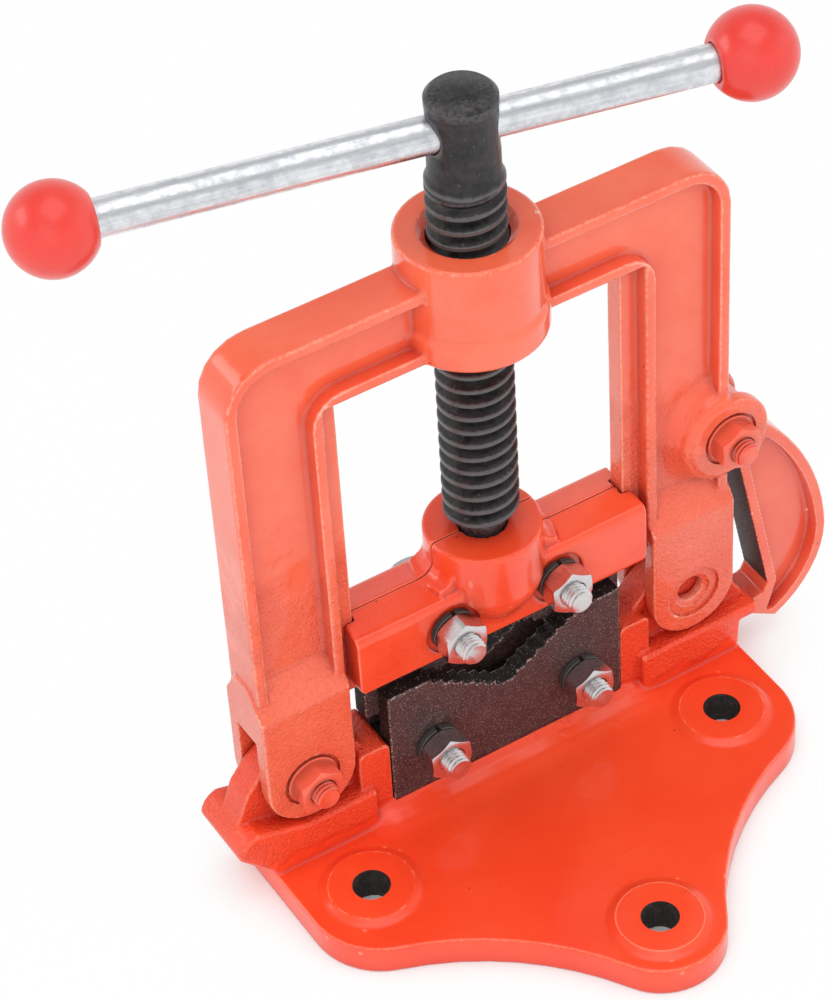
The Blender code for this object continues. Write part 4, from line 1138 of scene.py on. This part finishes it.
def makeSpringWasher(name, node, centre, body):
    # a split ring of square section, its ends sprung a little apart
    washer = fastening["springWasher"]
    _, low, high = centreOf(node)
    inner, outer, edge = washer["inside"], (high.x - low.x) / 2, washer["edge"]
    base, top = -high.y, -low.y
    section = [
        (inner + edge, base), (outer - edge, base), (outer, base + edge), (outer, top - edge),
        (outer - edge, top), (inner + edge, top), (inner, top - edge), (inner, base + edge),
    ]
    rings = []
    for step in range(washer["steps"] + 1):
        share = step / washer["steps"]
        angle = pi / 2 + washer["gap"] / 2 + (2 * pi - washer["gap"]) * share
        lift = washer["spring"] * (share - 0.5)
        rings.append([
            (radius * cos(angle), radius * sin(angle), min(max(height + lift, base), top))
            for radius, height in section
        ])
    mesh = settled(gridMesh(name, rings), centre, True)
    addPiece(name, mesh, "washerBlack", body, [node])


for group, body in (("lower_jaw", "base"), ("carriage", "carriage")):
    for side in ("left", "right"):
        makeFastener(f"{group}_{side}", body, False)
for label, body in (("hinge", "base"), ("latch", "yoke")):
    makeFastener(label, body, True)
print("pipe vise: fasteners threaded")


# floor, light and camera

studio = {
    "diffuseOnly": ("keyLight", "fillLight"), "floorReach": 3.0, "floorShade": (0.93, 0.93, 0.93, 1),
    "floorGlow": 0.98, "shadowReach": 0.03, "shadowRange": (0.3, 0.8),
    "worldStrength": 0.72, "ceilingLevel": 0.50, "ceilingRange": (0.30, 0.68),
    "lights": {
        "keyLight": ((-0.95, -1.05, 1.35), (1.5, 1.5), 16.0),
        "fillLight": ((1.25, -0.75, 0.95), (1.2, 1.2), 6.5),
        "topLight": ((0.05, -0.15, 1.7), (1.3, 1.3), 6.0),
        "backLight": ((-1.1, 0.7, 0.9), (0.9, 0.5), 3.0),
    },
}


def makeFloor():
    reach = studio["floorReach"]
    mesh = bpy.data.meshes.new("floor")
    corners = [(-reach, -reach, 0), (reach, -reach, 0), (reach, reach, 0), (-reach, reach, 0)]
    mesh.from_pydata(corners, [], [(0, 1, 2, 3)])
    floor = addObject("floor", mesh)
    floor.location.z = cadBox[0].z
    material, tree, shader = startMaterial(
        "floorWhite", {"Roughness": 0.8, "Base Color": studio["floorShade"]}
    )
    glow = tree.add("ShaderNodeEmission", Color=(1, 1, 1, 1), Strength=1.0)
    # painted shadow: the floor's glow drops where ambient occlusion finds the object close by
    occlusionShade = tree.add("ShaderNodeAmbientOcclusion", {"samples": 8}, Distance=studio["shadowReach"])
    lit = tree.ramp(occlusionShade.outputs["AO"], *studio["shadowRange"])
    share = tree.times(seenByEye(tree), lit, studio["floorGlow"])
    blend = tree.add("ShaderNodeMixShader", n0=share, n1=shader.outputs[0], n2=glow.outputs[0])
    tree.fill(material.node_tree.nodes["Material Output"], Surface=blend.outputs[0])
    mesh.materials.append(material)


def seenByEye(tree):
    # 1 for the camera and for what reflections and clear things show
    path = tree.add("ShaderNodeLightPath").outputs
    direct = tree.math("MAXIMUM", path["Is Camera Ray"], path["Is Glossy Ray"])
    return tree.math("MAXIMUM", direct, path["Is Transmission Ray"])


def makeLights():
    aim = (cadBox[0] + cadBox[1]) / 2
    for name, (place, size, power) in studio["lights"].items():
        lamp = bpy.data.lights.new(name, "AREA")
        lamp.shape = "RECTANGLE"
        lamp.size, lamp.size_y = size
        lamp.energy = power
        light = addObject(name, lamp)
        light.location = place
        light.visible_glossy = name not in studio["diffuseOnly"]
        light.rotation_euler = (aim - Vector(place)).to_track_quat("-Z", "Y").to_euler()


def makeWorld():
    # white low down and dimmer overhead; what the camera sees of it directly is plain white
    world = bpy.data.worlds.new("studio")
    scene.world = world
    world.use_nodes = True
    tree = Tree(world.node_tree)
    background = world.node_tree.nodes["Background"]
    direction = tree.add("ShaderNodeTexCoord").outputs["Generated"]
    height = tree.add("ShaderNodeSeparateXYZ", Vector=direction).outputs["Z"]
    level = tree.ramp(height, *studio["ceilingRange"], 1.0, studio["ceilingLevel"])
    lit = tree.times(tree.ramp(seenByEye(tree), 0.0, 1.0, studio["worldStrength"], 1.0), level)
    eye = tree.add("ShaderNodeLightPath").outputs["Is Camera Ray"]
    tree.fill(background, Color=(1, 1, 1, 1), Strength=tree.math("MAXIMUM", eye, lit))


def makeCamera():
    # the photo's own view: the camera's axes and place, and its focal length in pixels
    shot = {
        "right": (0.84717, -0.52903, -0.04922), "down": (-0.39343, -0.56235, -0.72731),
        "forward": (0.35709, 0.63552, -0.68455), "place": (-0.3856, -0.6469, 0.8149),
        "focalPixels": 3665.5, "tallPixels": 1000, "sensor": 36,
    }
    camera = bpy.data.cameras.new("photoCamera")
    camera.sensor_width = shot["sensor"]
    camera.lens = shot["sensor"] * shot["focalPixels"] / shot["tallPixels"]
    view = addObject("photoCamera", camera)
    turn = Matrix((shot["right"], [-x for x in shot["down"]], [-x for x in shot["forward"]])).transposed()
    view.matrix_world = Matrix.Translation(shot["place"]) @ turn.to_4x4()
    scene.camera = view


makeFloor()
makeLights()
makeWorld()
makeCamera()
scene.view_settings.view_transform = "Standard"
print("pipe vise: floor, light and camera")
